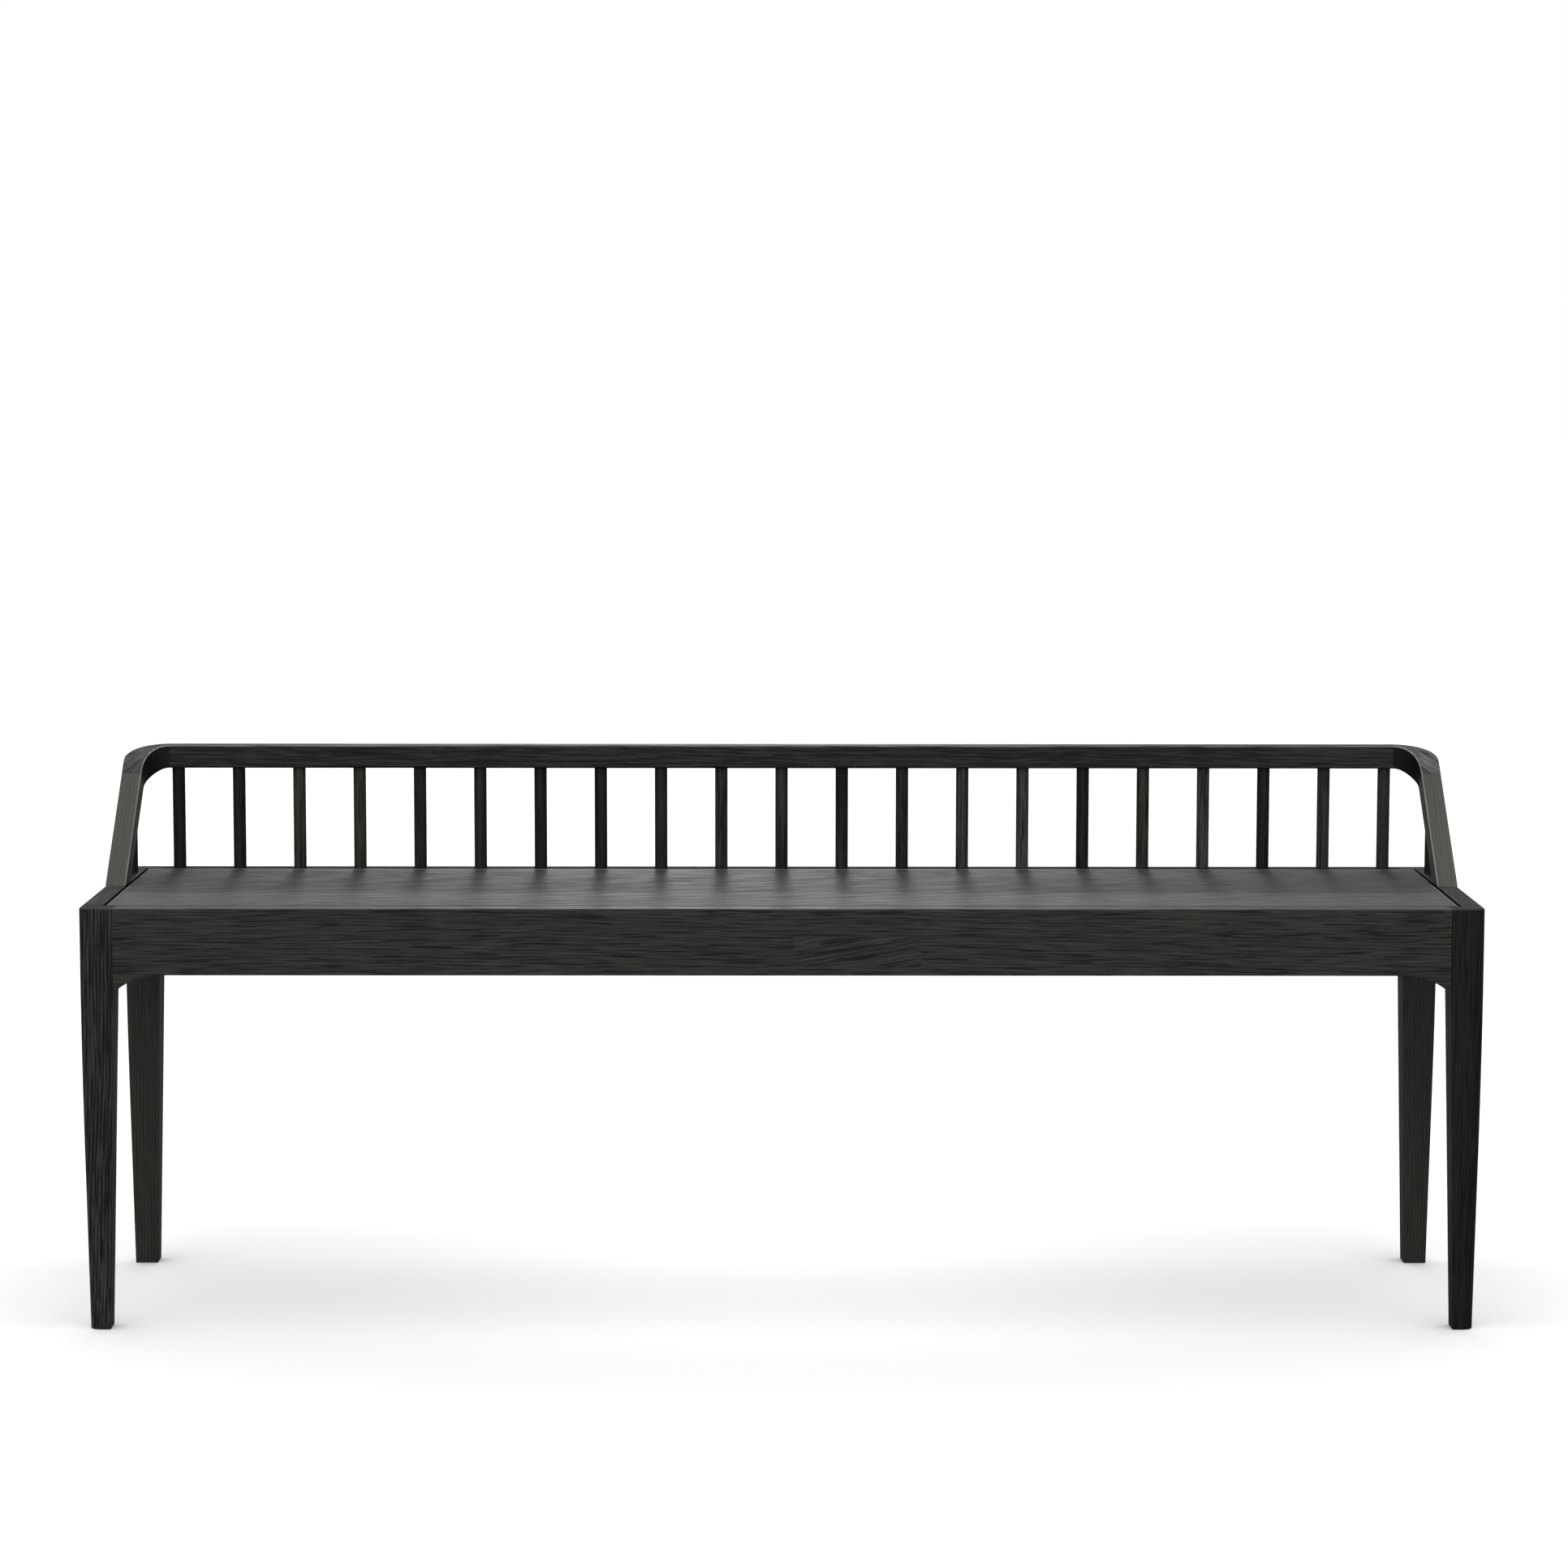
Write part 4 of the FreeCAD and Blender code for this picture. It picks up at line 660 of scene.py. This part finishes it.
# %% Long rails and side rails
half_rail = HALF_LENGTH - LEG_WIDTH
front_rail = shaped_rail("shaped_front_rail", (-half_rail, -HALF_DEPTH, RAIL_BOTTOM),
                         (half_rail, -HALF_DEPTH + RAIL_THICKNESS, SEAT_TOP), 0)
half_back_rail = HALF_LENGTH - BACK_LEG_WIDTH
back_rail = shaped_rail("shaped_back_rail", (-half_back_rail, HALF_DEPTH - RAIL_THICKNESS, RAIL_BOTTOM),
                        (half_back_rail, HALF_DEPTH, SEAT_TOP), 0)
half_side = HALF_DEPTH - LEG_DEPTH
right_rail = shaped_rail("shaped_right_side_rail", (HALF_LENGTH - RAIL_THICKNESS, -half_side, RAIL_BOTTOM),
                         (HALF_LENGTH, half_side, SEAT_TOP), 1)
left_rail = copied(right_rail, "shaped_left_side_rail", MIRROR_X)
for piece, node, finish in ((front_rail, "front_rail", rail_oak), (back_rail, "back_rail", back_rail_oak),
                            (right_rail, "right_side_rail", side_rail_oak),
                            (left_rail, "left_side_rail", side_rail_oak)):
    hand_over(piece, node, finish)
# A painted sheen on the front rail's top, painted shade on the back rail's top.
for piece, finish in ((front_rail, rail_top_sheen_oak), (back_rail, back_rail_top_shade_oak)):
    finish_faces(piece, faces_towards(piece, UPRIGHT, least=SQUARELY), finish)
print("rails: 4, faces in a long one:", len(front_rail.data.polygons))

# %% [markdown]
# ## The askew stave
#
# The front rail is glued up from staves. In the middle one of them shows: its grain rises to the
# right, and it ends at a straight seam on either side. It could be a mesh of its own, but then the rail
# would have to be cut. A mask picks its box by place instead, and the grain in it reads a turned place.

# %% Turn the grain inside the stave
STAVE_LOW = Vector((0.011, -HALF_DEPTH - NEAR, 0.385))
STAVE_HIGH = Vector((0.144, -HALF_DEPTH + RAIL_THICKNESS, 0.417))
STAVE_TURN = math.radians(10)
STAVE_SHIFT = (0.31, 0.0, 0.013)

tree = rail_oak.node_tree
place = next(node for node in tree.nodes if node.type == "TEX_COORD").outputs["Object"]
oak = next(node for node in tree.nodes if node.type == "GROUP")
parts = new_node(tree, "ShaderNodeSeparateXYZ", {0: place}).outputs
middle, half = (STAVE_LOW + STAVE_HIGH) / 2, (STAVE_HIGH - STAVE_LOW) / 2
inside = 1
for axis, letter in enumerate("XYZ"):
    within = calculated(tree, "COMPARE", parts[letter], middle[axis], half[axis])
    inside = calculated(tree, "MULTIPLY", inside, within)
askew = new_node(tree, "ShaderNodeMapping",
                 {"Vector": place, "Rotation": (0, STAVE_TURN, 0), "Location": STAVE_SHIFT})
straight = oak.inputs["Place"].links[0].from_socket
set_inputs(tree, oak, {"Place": mixed(tree, "VECTOR", inside, straight, askew.outputs["Vector"])})
print("stave from", round(STAVE_LOW.x, 3), "to", round(STAVE_HIGH.x, 3))

# %% [markdown]
# ## Seat
#
# The seat is glued up from three boards and lies flush with the rails, with a narrow gap all round.
# The boards sit tight edge to edge, so their seams hardly show. The front one is lighter: a painted
# sheen for the brighter light along the seat's front. One wide blank could stand for all three, but
# then the seams and the change of tone would be drawn by a mask. The ends and the back edge get painted
# highlights: lines are sawn on top, close to these edges, and the narrow faces outside them get a
# lighter finish.

# %% Finishes of the seat
PANEL_GAP = 0.0032
SEAT_EDGE_RADIUS = 0.0006
# The front board's lighter colours are a painted sheen for the brighter front of the seat.
FRONT_BOARD_SHEEN_BLACK = (0.018, 0.018, 0.018)
FRONT_BOARD_SHEEN_GREY = (0.060, 0.060, 0.060)
PANEL_BACK = HALF_DEPTH - RAIL_THICKNESS - PANEL_GAP
# The seat's back face, inside the gap, gets painted shade too.
panel_shade_limit = ((0, 1, 0), PANEL_BACK - SEAT_EDGE_RADIUS)
seat_oak = {
    name: stained_oak(name + "_oak", LENGTHWISE, dark, light, streaks=streaks, pores=0.5, bump=0.6,
                      gloss=0.47, fineness=0.3, matt=0.06, shade_limit=panel_shade_limit)
    for name, dark, light, streaks in (("seat_board_front", FRONT_BOARD_SHEEN_BLACK, FRONT_BOARD_SHEEN_GREY, 0.8),
                                       ("seat_board_middle", SOOT, SEAT_BLACK, 1.4),
                                       ("seat_board_back", SOOT, SEAT_BLACK, 1.4))
}
# Painted highlights along the seat's ends and its back edge.
seat_edge_highlight = stained_oak("seat_edge_highlight", LENGTHWISE, SEAT_BLACK, HIGHLIGHT_GREY, streaks=0.6, pores=0.2,
                        gloss=0.5, shades=2.0)
print("finishes of the seat:", len(seat_oak) + 1)

# %% Seat boards
# In CAD a tongue runs into the next board, so a board here ends where the next one starts.
END_STRIP = 0.0015
BACK_STRIP = 0.006
board_names = list(seat_oak)
for name, next_name in zip(board_names, board_names[1:] + [None]):
    low, high = (Vector(corner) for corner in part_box(name))
    if next_name:
        high.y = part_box(next_name)[0][1]
    board = blank("shaped_" + name, low, high)
    outside = {"seat_board_front": low.y, "seat_board_back": high.y}.get(name)

    def shows(start, end):
        """True for the top edges at the ends, and for the one along the outside of the seat."""
        at_an_end = abs(start.x - end.x) < NEAR
        at_the_outside = outside is not None and all(abs(place.y - outside) < NEAR for place in (start, end))
        return min(start.z, end.z) > SEAT_TOP - NEAR and (at_an_end or at_the_outside)

    round_edges(board, shows, SEAT_EDGE_RADIUS, segments=3)
    saw_lines(board, [(way * (high.x - END_STRIP), 0, 0) for way in (-1, 1)], LENGTHWISE)
    saw_lines(board, [(0, PANEL_BACK - BACK_STRIP, 0)], CROSSWISE)
    hand_over(board, name, seat_oak[name])
    # The narrow top faces at the ends and the back get the painted highlight.
    highlight_strips = []
    for index in faces_towards(board, UPRIGHT, least=SQUARELY):
        centre = board.data.polygons[index].center
        if abs(centre.x) > high.x - END_STRIP or centre.y > PANEL_BACK - BACK_STRIP:
            highlight_strips.append(index)
    finish_faces(board, highlight_strips, seat_edge_highlight)
print("seat boards:", len(board_names))

# %% [markdown]
# ## Spindles
#
# A spindle is turned round, with a thinner peg at each end that goes into the rail below and the crest
# above. Spin could turn it from a profile, but its sides are straight, so a cylinder is the shorter way:
# it gives the part that shows, and each end face is then inset to the peg's size and drawn out. The
# spindle behind each arm is sawn off along the arm's underside. Each spindle comes from another rod, so
# some took up more stain, some less, and a few kept an olive tone.

# %% Finishes of the spindles
LIGHT_GREY = (0.078, 0.078, 0.078)
spindle_oak = {}
for name, light, shades, numbers in (("dark_spindle", SEAT_BLACK, 1.1, (1, 2, 7, 8, 16, 19)),
                                     ("dim_spindle", GREY_BLACK, 1.5, (5, 6, 9)),
                                     ("plain_spindle", PLAIN_BLACK, 2.5, (11, 12, 13, 21)),
                                     ("light_spindle", LIGHT_GREY, 2.5, (10, 14, 20)),
                                     ("olive_spindle", OLIVE_GREY, 1.1, (3, 4, 17)),
                                     ("light_olive_spindle", LIGHT_OLIVE, 1.1, (15, 18))):
    finish = stained_oak(name, UPRIGHT, SOOT, light, streaks=0.7, rings=0.2, shades=shades)
    spindle_oak.update({number: finish for number in numbers})
print("spindles with a finish:", len(spindle_oak))

# %% One spindle, then all of them
SPINDLE_RADIUS = 0.007
SPINDLE_EASE = 0.0003
PEG_RADIUS = 0.005
PEG_LENGTH = 0.010
FLUSH = NEAR / 4


def turned_spindle(name, x, y, bottom, top):
    """A round spindle with a peg at each end."""
    bpy.ops.object.select_all(action="DESELECT")
    bpy.ops.mesh.primitive_cylinder_add(vertices=32, radius=SPINDLE_RADIUS, depth=top - bottom,
                                        location=(x, y, (top + bottom) / 2))
    spindle = bpy.context.object
    spindle.name = spindle.data.name = name
    bpy.ops.object.transform_apply(location=True, rotation=True, scale=True)
    ease(spindle, SPINDLE_EASE)
    for way in (-1, 1):
        end = top if way > 0 else bottom
        pick(spindle, "FACE",
             lambda centre, normal: normal.z * way > SQUARELY and abs(centre.z - end) < FLUSH)
        bpy.ops.mesh.inset(thickness=SPINDLE_RADIUS - PEG_RADIUS - SPINDLE_EASE)
        bpy.ops.mesh.extrude_region_move(TRANSFORM_OT_translate={"value": (0, 0, way * PEG_LENGTH)})
        bpy.ops.object.mode_set(mode="OBJECT")
    return spindle


# The spindle nodes' boxes give the middle of each; the pattern is one shape at many places.
spindle_nodes = sorted(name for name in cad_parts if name.startswith("back_spindle"))
spindle = turned_spindle("spindle_shape", 0, 0, SEAT_TOP, CREST_LOW.z)
for node in spindle_nodes:
    low, high = (Vector(corner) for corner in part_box(node))
    middle = Vector(((low.x + high.x) / 2, (low.y + high.y) / 2, 0))
    shaped = copied(spindle, "shaped_" + node, Matrix.Translation(middle))
    hand_over(shaped, node, spindle_oak[int(node[-2:])])
bpy.data.objects.remove(spindle, do_unlink=True)
print("spindles under the crest:", len(spindle_nodes))

# %% [markdown]
# ## Crest rail and arms
#
# The crest is a straight bar with rounded edges. An arm is a straight bar too, sawn level where it
# stands on the side rail, and square to its slope at the top, where the corner block begins. A level
# bar could be turned up to the slope, but an upright blank whose top is pushed over to its place keeps
# the level cut at the foot exact. Hands have worn the stain thin on the arms, so the arms are lighter.
# The narrow faces of the upper arrises of the crest and the arms get a light finish: a painted
# highlight where these edges catch the light.

# %% Slope of the arms
# In the side view the arms' centre line meets the crest's, half a hoop behind and below its edges.
half_hoop = Vector((HOOP_WIDTH, HOOP_WIDTH, HOOP_THICKNESS)) / 2
HOOP_MIDDLE = Vector((HALF_LENGTH, HALF_DEPTH, BENCH_TOP)) - half_hoop
arm_run = HOOP_MIDDLE.y - ARM_LOW.y
arm_rise = HOOP_MIDDLE.z - SEAT_TOP
SLOPE = math.atan2(arm_rise, arm_run) + math.asin(HOOP_THICKNESS / 2 / math.hypot(arm_run, arm_rise))
UP_SLOPE = Vector((0, math.cos(SLOPE), math.sin(SLOPE)))
SQUARE_UP = Vector((0, -math.sin(SLOPE), math.cos(SLOPE)))
print("arms slope at", round(math.degrees(SLOPE), 2), "degrees")

# %% Finishes of the crest and the arms
CREST_BLACK = (0.025, 0.025, 0.025)
ARRIS_HIGHLIGHT_GREY = (0.36, 0.36, 0.35)
crest_oak = stained_oak("crest_oak", LENGTHWISE, SOOT, CREST_BLACK, streaks=2.4, pores=1.0, gloss=0.3,
                        fineness=0.8)
arm_oak = stained_oak("arm_oak", UP_SLOPE, SOOT, LIGHT_OLIVE, streaks=0.12, pores=0.15, rings=0.1,
                      bump=0.05, shades=0.4)
# The next two finishes are painted highlights on the upper arrises of the crest and the arms.
crest_highlight = stained_oak("crest_highlight", LENGTHWISE, GREY_BLACK, HIGHLIGHT_GREY, streaks=0.6, pores=0.2, shades=3.0)
arris_highlight = stained_oak("arris_highlight", UP_SLOPE, PLAIN_BLACK, ARRIS_HIGHLIGHT_GREY, streaks=0.3, pores=0.1)
print("worn finishes:", crest_highlight.name, arris_highlight.name)

# %% Crest rail
ALMOST_PARALLEL = 0.999


def runs_along(direction):
    """A test for edges that run along a direction."""
    return lambda start, end: abs((end - start).normalized().dot(Vector(direction))) > ALMOST_PARALLEL


HOOP_EDGE_RADIUS = 0.002
JOINT_LINE = 0.00025
crest = blank("shaped_crest_rail", CREST_LOW, CREST_HIGH)
round_edges(crest, runs_along(LENGTHWISE), HOOP_EDGE_RADIUS, segments=4)
ease(crest, JOINT_LINE, segments=1, sharper_than=60)
hand_over(crest, "crest_rail", crest_oak)
# The crest's front upper arris gets a painted highlight.
finish_faces(crest, faces_towards(crest, (0, -1, 0), UPRIGHT), crest_highlight)
print("crest:", round(CREST_HIGH.x - CREST_LOW.x, 4), "long")

# %% Arms
BEND = HOOP_MIDDLE.x - CREST_HIGH.x
arm_end = HOOP_MIDDLE - UP_SLOPE * BEND
arm_end_top = arm_end + SQUARE_UP * HOOP_THICKNESS / 2
arm_end_under = arm_end - SQUARE_UP * HOOP_THICKNESS / 2
arm_heel = ARM_LOW.y + HOOP_THICKNESS / math.sin(SLOPE)
arm = blank("shaped_right_arm", (HALF_LENGTH - HOOP_WIDTH, ARM_LOW.y, SEAT_TOP),
            (HALF_LENGTH, arm_heel, BENCH_TOP))
push(arm, lambda place: place.z > BENCH_TOP - NEAR and place.y < ARM_LOW.y + NEAR,
     (0, arm_end_top.y - ARM_LOW.y, arm_end_top.z - BENCH_TOP))
push(arm, lambda place: place.z > BENCH_TOP - NEAR and abs(place.y - arm_heel) < NEAR,
     (0, arm_end_under.y - arm_heel, arm_end_under.z - BENCH_TOP))
round_edges(arm, runs_along(UP_SLOPE), HOOP_EDGE_RADIUS, segments=4)
ease(arm, JOINT_LINE, segments=1, sharper_than=60)
left_arm = copied(arm, "shaped_left_arm", MIRROR_X)
hand_over(arm, "right_arm", arm_oak)
hand_over(left_arm, "left_arm", arm_oak)
# The arms' inner upper arrises get a painted highlight.
for piece, inwards in ((arm, (-1, 0, 0)), (left_arm, (1, 0, 0))):
    finish_faces(piece, faces_towards(piece, inwards, SQUARE_UP), arris_highlight)
print("arm from", round(ARM_LOW.y, 4), "to", round(arm_end_top.y, 4), round(arm_end_top.z, 4))

# %% Spindles behind the arms
# Both are as dark as the first one under the crest.
for node in ("left_side_spindle", "right_side_spindle"):
    low, high = (Vector(corner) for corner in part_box(node))
    middle = (low + high) / 2
    under = arm_end_under.z + (middle.y - arm_end_under.y) * math.tan(SLOPE)
    spindle = turned_spindle("shaped_" + node, middle.x, middle.y, SEAT_TOP, high.z)
    pick(spindle, "FACE", lambda centre, normal: True)
    bpy.ops.mesh.bisect(plane_co=(middle.x, middle.y, under), plane_no=SQUARE_UP, clear_outer=True,
                        use_fill=True)
    bpy.ops.object.mode_set(mode="OBJECT")
    hand_over(spindle, node, spindle_oak[1])
    print(node, "ends", round(under, 4), "up")

# %% [markdown]
# ## Corner blocks
#
# This piece takes the most skill. It turns a quarter circle in the leaning plane that the arm and the
# crest share, and while it turns it also rolls, so that the arm's upper face becomes the crest's level
# top. Its outside is fuller than its inside. Spin and bend can't roll a section as they turn it, so a
# straight bar with rounded edges is sawn into rings, and a formula moves each ring onto the bend. The
# grain runs straight across the corner. The inner faces get a near black colour, painted shade, and the
# inner upper arris gets a painted highlight as on the arms. The right block is given a lighter colour
# than the left one.

# %% Finishes of the corners
CORNER_GREY = (0.060, 0.060, 0.060)
LIGHT_CORNER_GREY = (0.108, 0.108, 0.108)
INNER_SHADE_BLACK = (0.012, 0.012, 0.012)
corner_oak = {
    side: stained_oak("corner_oak_" + word, Vector((-side, 0, 0)) + UP_SLOPE, SOOT, light, streaks=2.4,
                      rings=0.4, shades=0.8)
    for side, word, light in ((-1, "left", CORNER_GREY), (1, "right", LIGHT_CORNER_GREY))
}
# The inner faces get a near black colour: painted shade.
corner_inner_shade_oak = stained_oak("corner_inner_shade_oak", LENGTHWISE, SOOT, INNER_SHADE_BLACK, streaks=0.3, pores=0.2,
                               gloss=0.12)
print("finishes of the corners:", len(corner_oak) + 1)

# %% Where a ring of the corner lies
OUTSIDE_RADIUS = 0.031


def corner_frame(share):
    """Middle, inward and upward directions of the right corner's section at a share of the bend."""
    inward = Vector((-1, 0, 0))
    centre = HOOP_MIDDLE + (inward - UP_SLOPE) * BEND
    angle = math.pi / 2 * share
    to_centre = inward * math.cos(angle) - UP_SLOPE * math.sin(angle)
    # The roll starts and ends gently, so both ends meet their neighbours face to face.
    roll = SLOPE * share ** 2 * (3 - 2 * share)
    section_in = to_centre * math.cos(roll) + SQUARE_UP * math.sin(roll)
    section_up = SQUARE_UP * math.cos(roll) - to_centre * math.sin(roll)
    return centre - to_centre * BEND, section_in, section_up


def outside_reach(share):
    """From the centre of the bend to the outside: a square corner rounded with its own radius."""
    angle = math.pi / 2 * share
    reach = BEND + HOOP_WIDTH / 2
    straight = reach - OUTSIDE_RADIUS
    if reach * math.sin(angle) <= straight * math.cos(angle):
        return reach / math.cos(angle)
    if reach * math.cos(angle) <= straight * math.sin(angle):
        return reach / math.sin(angle)
    halfway = straight * (math.cos(angle) + math.sin(angle))
    return halfway + math.sqrt(halfway ** 2 - 2 * straight ** 2 + OUTSIDE_RADIUS ** 2)


print("half way round, the outside is", round(outside_reach(0.5), 4), "from the centre")

# %% Bend and roll a straight bar into the corner
CORNER_RINGS = 24
half_width, half_height = HOOP_WIDTH / 2, HOOP_THICKNESS / 2
bar = blank("shaped_right_corner_block", (-half_width, 0, -half_height), (half_width, 1, half_height))
round_edges(bar, runs_along(CROSSWISE), HOOP_EDGE_RADIUS, segments=4)
saw_lines(bar, [(0, ring / CORNER_RINGS, 0) for ring in range(1, CORNER_RINGS)], CROSSWISE)
shaded_inner_faces = faces_towards(bar, (-1, 0, 0), least=SQUARELY)
highlit_arris_faces = faces_towards(bar, (-1, 0, 0), UPRIGHT)
for corner in bar.data.vertices:
    share = min(1, max(0, corner.co.y))
    middle, inward, upward = corner_frame(share)
    fuller = (outside_reach(share) - BEND) / half_width if corner.co.x > 0 else 1
    place = middle - inward * corner.co.x * fuller + upward * corner.co.z
    corner.co = (min(place.x, HALF_LENGTH), min(place.y, HALF_DEPTH), place.z)
bpy.context.view_layer.objects.active = bar
bpy.ops.object.mode_set(mode="EDIT")
bpy.ops.mesh.select_all(action="SELECT")
bpy.ops.mesh.normals_make_consistent(inside=False)
bpy.ops.object.mode_set(mode="OBJECT")
left_bar = copied(bar, "shaped_left_corner_block", MIRROR_X)
hand_over(bar, "right_corner_block", corner_oak[1])
hand_over(left_bar, "left_corner_block", corner_oak[-1])
# Painted shade on the inner faces, a painted highlight on the inner upper arris.
for piece in (bar, left_bar):
    finish_faces(piece, shaded_inner_faces, corner_inner_shade_oak)
    finish_faces(piece, highlit_arris_faces, arris_highlight)
print("corner block faces:", len(bar.data.polygons))

# %% [markdown]
# ## Pieces that keep their CAD mesh
#
# The battens, bearers, screws and dowels are boxes and rods that are hidden from most sides. Their
# CAD meshes are right as they are, so they only get finishes: plain black stain, raw wood and zinc.

# %% Finishes of the hidden pieces
def plain_finish(name, colour, roughness, metallic=0.0):
    """One colour all over."""
    material = bpy.data.materials.new(name)
    material.use_nodes = True
    tree = material.node_tree
    set_inputs(tree, tree.nodes["Principled BSDF"],
               {"Base Color": (*colour, 1), "Roughness": roughness, "Metallic": metallic})
    return material


ZINC_GREY = (0.55, 0.56, 0.58)
RAW_BROWN = (0.42, 0.29, 0.16)
RAW_YELLOW = (0.62, 0.47, 0.30)
zinc = plain_finish("zinc_plate", ZINC_GREY, roughness=0.35, metallic=1.0)
batten_oak = stained_oak("batten_oak", LENGTHWISE, SOOT, GREY_BLACK, pores=0.5, gloss=0.2)
raw_dowel = stained_oak("raw_dowel", UPRIGHT, RAW_BROWN, RAW_YELLOW, pores=0.2)
hidden_finishes = {"screws": zinc, "dowels": raw_dowel, "cleat": batten_oak, "bearer": batten_oak}
dressed = 0
for name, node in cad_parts.items():
    finish = next((finish for word, finish in hidden_finishes.items() if word in name), None)
    if finish:
        node.data.materials.clear()
        node.data.materials.append(finish)
        dressed += 1
print("CAD nodes with a finish:", dressed)

# %% [markdown]
# ## Studio
#
# The studio is a plain white floor in soft light. Lamps would draw hard edges on so dark a piece, so
# most of the light comes from the world: a bright field overhead, one in front of the bench, and a
# narrow one behind it, which the seat mirrors as a light middle that fades to both ends. The low sides
# stay dark, which keeps the legs and rails black. One soft spot from behind and above, which nothing
# mirrors, adds light to the tops. The camera itself sees a plain white world.

# %% Floor
# The floor is nearly white to the camera and darker to the light that it sends on, as far less white
# surrounds a piece in a studio than this endless floor would.
FLOOR_SIZE = 80
FLOOR_SEEN = 0.92
FLOOR_BOUNCE = 0.28
FLOOR_MIRRORED = 0.12

bpy.ops.object.select_all(action="DESELECT")
bpy.ops.mesh.primitive_plane_add(size=FLOOR_SIZE, location=(0, 0, 0))
floor = bpy.context.object
floor.name = "studio_floor"
floor_white = plain_finish("floor_white", (FLOOR_SEEN,) * 3, roughness=0.9)
tree = floor_white.node_tree
rays = new_node(tree, "ShaderNodeLightPath").outputs
unseen = remapped(tree, rays["Is Glossy Ray"], 0, 1, FLOOR_BOUNCE, FLOOR_MIRRORED)
shade = remapped(tree, rays["Is Camera Ray"], 0, 1, unseen, FLOOR_SEEN)
set_inputs(tree, tree.nodes["Principled BSDF"], {"Base Color": shade})
floor.data.materials.append(floor_white)
print("floor:", FLOOR_SIZE, "wide")

# %% World
OVERHEAD = 2.05
FRONT_FIELD = 1.45
SIDE_FIELD = 0.0
BACK_FIELD = 2.9
BACK_CENTRE = -0.012
BACK_FADE = (0.0, 0.12)
FRONT_FADE = (0.5, 0.9)
BACKWARD = (-0.2, 0.2)
UPWARD = (0.35, 0.65)

world = bpy.data.worlds.new("studio")
bpy.context.scene.world = world
world.use_nodes = True
tree = world.node_tree
tree.nodes.clear()
skywards = new_node(tree, "ShaderNodeTexCoord").outputs["Generated"]
direction = new_node(tree, "ShaderNodeSeparateXYZ", {0: skywards}).outputs
sideways = calculated(tree, "ABSOLUTE", calculated(tree, "SUBTRACT", direction["X"], BACK_CENTRE))
back_field = remapped(tree, sideways, *BACK_FADE, BACK_FIELD, SIDE_FIELD)
front_field = remapped(tree, sideways, *FRONT_FADE, FRONT_FIELD, SIDE_FIELD)
backward = remapped(tree, direction["Y"], *BACKWARD)
upward = remapped(tree, direction["Z"], *UPWARD)
low_field = mixed(tree, "FLOAT", backward, front_field, back_field)
brightness = mixed(tree, "FLOAT", upward, low_field, OVERHEAD)
unseen = new_node(tree, "ShaderNodeBackground", {"Strength": brightness}).outputs[0]
seen = new_node(tree, "ShaderNodeBackground", {"Color": (1, 1, 1, 1)}).outputs[0]
rays = new_node(tree, "ShaderNodeLightPath").outputs
chosen = new_node(tree, "ShaderNodeMixShader", {"Fac": rays["Is Camera Ray"], 1: unseen, 2: seen})
new_node(tree, "ShaderNodeOutputWorld", {"Surface": chosen.outputs[0]})
print("world:", len(tree.nodes), "nodes")

# %% A soft spot from behind
SPOT_PLACE = Vector((0, 2.2, 1.9))
SPOT_TARGET = Vector((0, 0, 0))
SPOT_POWER = 190
SPOT_ANGLE = math.radians(25)
SPOT_SOFTNESS = 0.35
bpy.ops.object.light_add(type="SPOT", location=SPOT_PLACE)
spot = bpy.context.object
spot.name = spot.data.name = "back_spot"
spot.data.energy = SPOT_POWER
spot.data.spot_size = SPOT_ANGLE
spot.data.spot_blend = 1.0
spot.data.shadow_soft_size = SPOT_SOFTNESS
spot.rotation_euler = (SPOT_TARGET - SPOT_PLACE).to_track_quat("-Z", "Y").to_euler()
spot.visible_camera = False
spot.visible_glossy = False
print("spot:", round(SPOT_PLACE.length, 3), "from the floor's centre")

# %% [markdown]
# ## Camera
#
# The photograph was taken from the front with a long lens, from a little above the back's height and
# tilted down by about six degrees. A camera could be placed by eye, but these values come from a fit of
# the bench's edges to the photograph, which leaves far less to chance.

# %% Camera
CAMERA_PLACE = (-0.0134, -4.4022, 1.0295)
LENS = 94.5
SENSOR = 36
TILT = math.radians(6.12)
ROLL = math.radians(-0.06)
TURN = math.radians(-0.196)
bpy.ops.object.camera_add(location=CAMERA_PLACE, rotation=(math.pi / 2 - TILT, ROLL, TURN))
camera = bpy.context.object
camera.name = camera.data.name = "photo_camera"
camera.data.lens = LENS
camera.data.sensor_width = SENSOR
bpy.context.scene.camera = camera
bpy.context.scene.view_settings.view_transform = "Standard"
print("lens:", LENS, "tilt:", round(math.degrees(TILT), 2))
